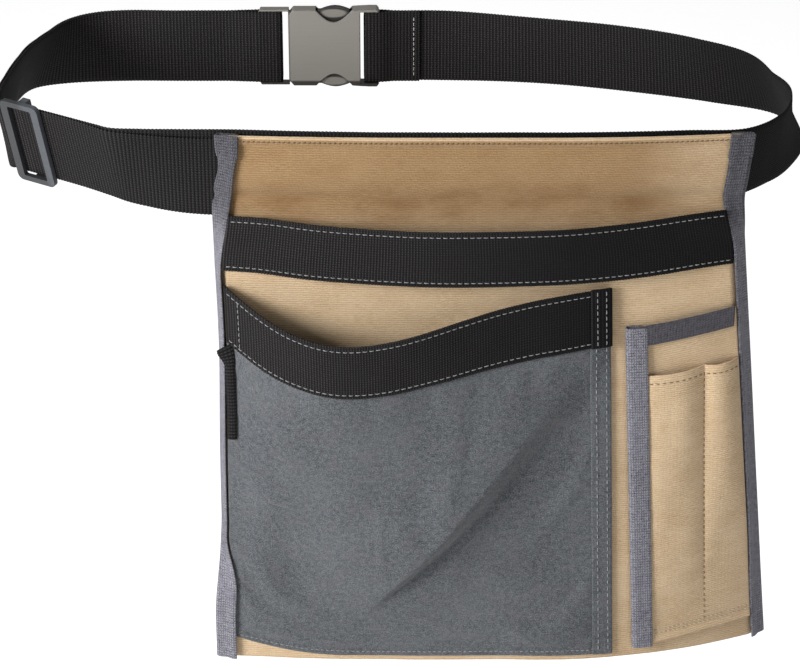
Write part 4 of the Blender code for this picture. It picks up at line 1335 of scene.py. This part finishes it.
def moulded_parts():
    """Both buckle halves, the prongs and the tri-glide, which keep the frame's meshes."""
    # colour of the painted shade on the buckle halves and prongs
    moulding_shade = (0.012, 0.011, 0.011)
    foot = box_mm("buckle_female")[0].z + SHELL_FOOT
    buckle = plastic_material("buckle_moulding", (0.24, 0.227, 0.207), (0.32, 0.31, 0.29),
                              moulding_shade, 0.15, foot=foot)
    dress_cad_node("buckle_female", buckle)
    dress_cad_node("buckle_male", buckle)
    for name, side in (("upper", 1.0), ("lower", -1.0)):
        node = "prong_" + name
        pad = plastic_material("prong_moulding_" + name, (0.22, 0.208, 0.19), (0.30, 0.29, 0.27),
                               moulding_shade, 0.15, pad=pad_centre(node, side))
        dress_cad_node(node, pad)
    low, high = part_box("tri_glide")
    middle = in_node("tri_glide", (low + high) / 2.0)
    glide = plastic_material("glide_moulding", (0.06, 0.067, 0.077), (0.13, 0.14, 0.155),
                             (0.018, 0.018, 0.02), 0.25, shaded_glide_middle=middle)
    dress_cad_node("tri_glide", glide)


# --------- stage

FLOOR_HALF = 6.0
FLOOR_DROP = 0.22


def add_floor():
    """A large pale floor some way below the hanging belt."""
    bands = 8
    mesh = bpy.data.meshes.new("floor")
    ticks = np.linspace(-FLOOR_HALF, FLOOR_HALF, bands)
    corners = [(x, y, cad_low.z - FLOOR_DROP) for x in ticks for y in ticks]
    mesh.from_pydata(corners, [], grid_quads(bands, bands, 0, False).tolist())
    s = new_graph("pale_floor")
    s.feed(s.nodes["Principled BSDF"], {
        "Base Color": (0.95, 0.95, 0.95), "Roughness": 0.9, "Emission Color": WHITE,
        "Emission Strength": s.camera_rays() * 0.62})
    mesh.materials.append(s.owner)
    add_object("floor", mesh)


def add_light(name, place, target, size, power):
    data = bpy.data.lights.new(name, "AREA")
    data.size = size
    data.energy = power
    lamp = add_object(name, data)
    lamp.location = place
    lamp.rotation_euler = (target - place).to_track_quat("-Z", "Y").to_euler()


def add_lights():
    middle = (cad_low + cad_high) / 2.0
    add_light("key", middle + Vector((-1.7, -1.25, 0.7)), middle, 0.9, 60.0)
    add_light("fill", middle + Vector((0.9, -2.2, 0.1)), middle, 1.2, 10.0)
    add_light("top", middle + Vector((0.3, 1.2, 2.0)), middle, 1.2, 8.0)
    world = bpy.data.worlds.new("studio")
    sky = Graph(world)
    sky.feed(sky.nodes["Background"], {"Color": WHITE, "Strength": sky.camera_rays() * 0.7 + 0.2})
    bpy.context.scene.world = world
    bpy.context.scene.view_settings.view_transform = "Standard"


CAMERA_TARGET = Vector((-0.0531, -0.00625, -0.1069))
CAMERA_ELEVATION = math.radians(25.0)
CAMERA_DISTANCE = 1.65
CAMERA_LENS = 118.8


def add_camera():
    data = bpy.data.cameras.new("camera")
    data.sensor_width = 36.0
    data.lens = CAMERA_LENS
    camera = add_object("camera", data)
    away = Vector((0.0, -math.cos(CAMERA_ELEVATION), math.sin(CAMERA_ELEVATION)))
    camera.location = CAMERA_TARGET + away * CAMERA_DISTANCE
    camera.rotation_euler = (math.pi / 2.0 - CAMERA_ELEVATION, 0.0, 0.0)
    bpy.context.scene.camera = camera


# --------- everything

def thread_cloth(name, slot, dark, light):
    return Cloth(thread_material(name, dark, light), slot)


def build():
    tan = Cloth(canvas_material("tan_canvas_cloth", (0.24, 0.145, 0.068), (0.82, 0.63, 0.41),
                                (0.62, 0.47, 0.31), 1.5, 0.34), "tan_canvas")
    grey = Cloth(heather_material("grey_canvas_cloth", (0.011, 0.014, 0.018),
                                  (0.188, 0.199, 0.212), (0.125, 0.105, 0.12), 1.2),
                 "grey_canvas")
    tape = Cloth(heather_material("grey_tape_cloth", (0.002, 0.002, 0.006), (0.31, 0.305, 0.35),
                                  (0.07, 0.06, 0.10), 1.9, shaded=0.4, twill=0.6), "grey_tape")
    # a darker copy of the tape material, painted shade, for the side pocket's top tape
    shaded_tape = Cloth(heather_material("grey_tape_cloth_shaded", (0.008, 0.007, 0.012),
                                       (0.115, 0.11, 0.125), (0.05, 0.042, 0.056), 1.9,
                                       twill=0.4), "grey_tape")
    black = Cloth(webbing_material("black_webbing_cloth", (0.0015, 0.0015, 0.0015),
                                   (0.055, 0.050, 0.051), (0.009, 0.008, 0.009)),
                  "black_webbing")
    light = thread_cloth("light_thread", "light_thread", (0.20, 0.195, 0.20), (0.42, 0.415, 0.42))
    white = thread_cloth("white_thread", "light_thread", (0.36, 0.35, 0.35), (0.66, 0.65, 0.64))
    brown = thread_cloth("brown_thread", "brown_thread", (0.10, 0.055, 0.03), (0.27, 0.165, 0.09))
    dim = thread_cloth("tape_thread", "grey_tape", (0.10, 0.10, 0.12), (0.26, 0.26, 0.30))
    sand = thread_cloth("sand_thread", "tan_canvas", (0.42, 0.32, 0.20), (0.70, 0.58, 0.42))

    settle_pocket()
    apron_canvas(tan)
    top_hem(tan, brown)
    edge_tapes(tape, dim)
    tape_ends(tape)
    tool_band(black, light)
    main_pocket(grey, light)
    pocket_rim(black, light)
    side_pocket(tan, brown, sand)
    side_tapes(tape, shaded_tape)
    hanging_loop(black)
    waist_belt(black, white)
    moulded_parts()
    add_floor()
    add_lights()
    add_camera()


build()
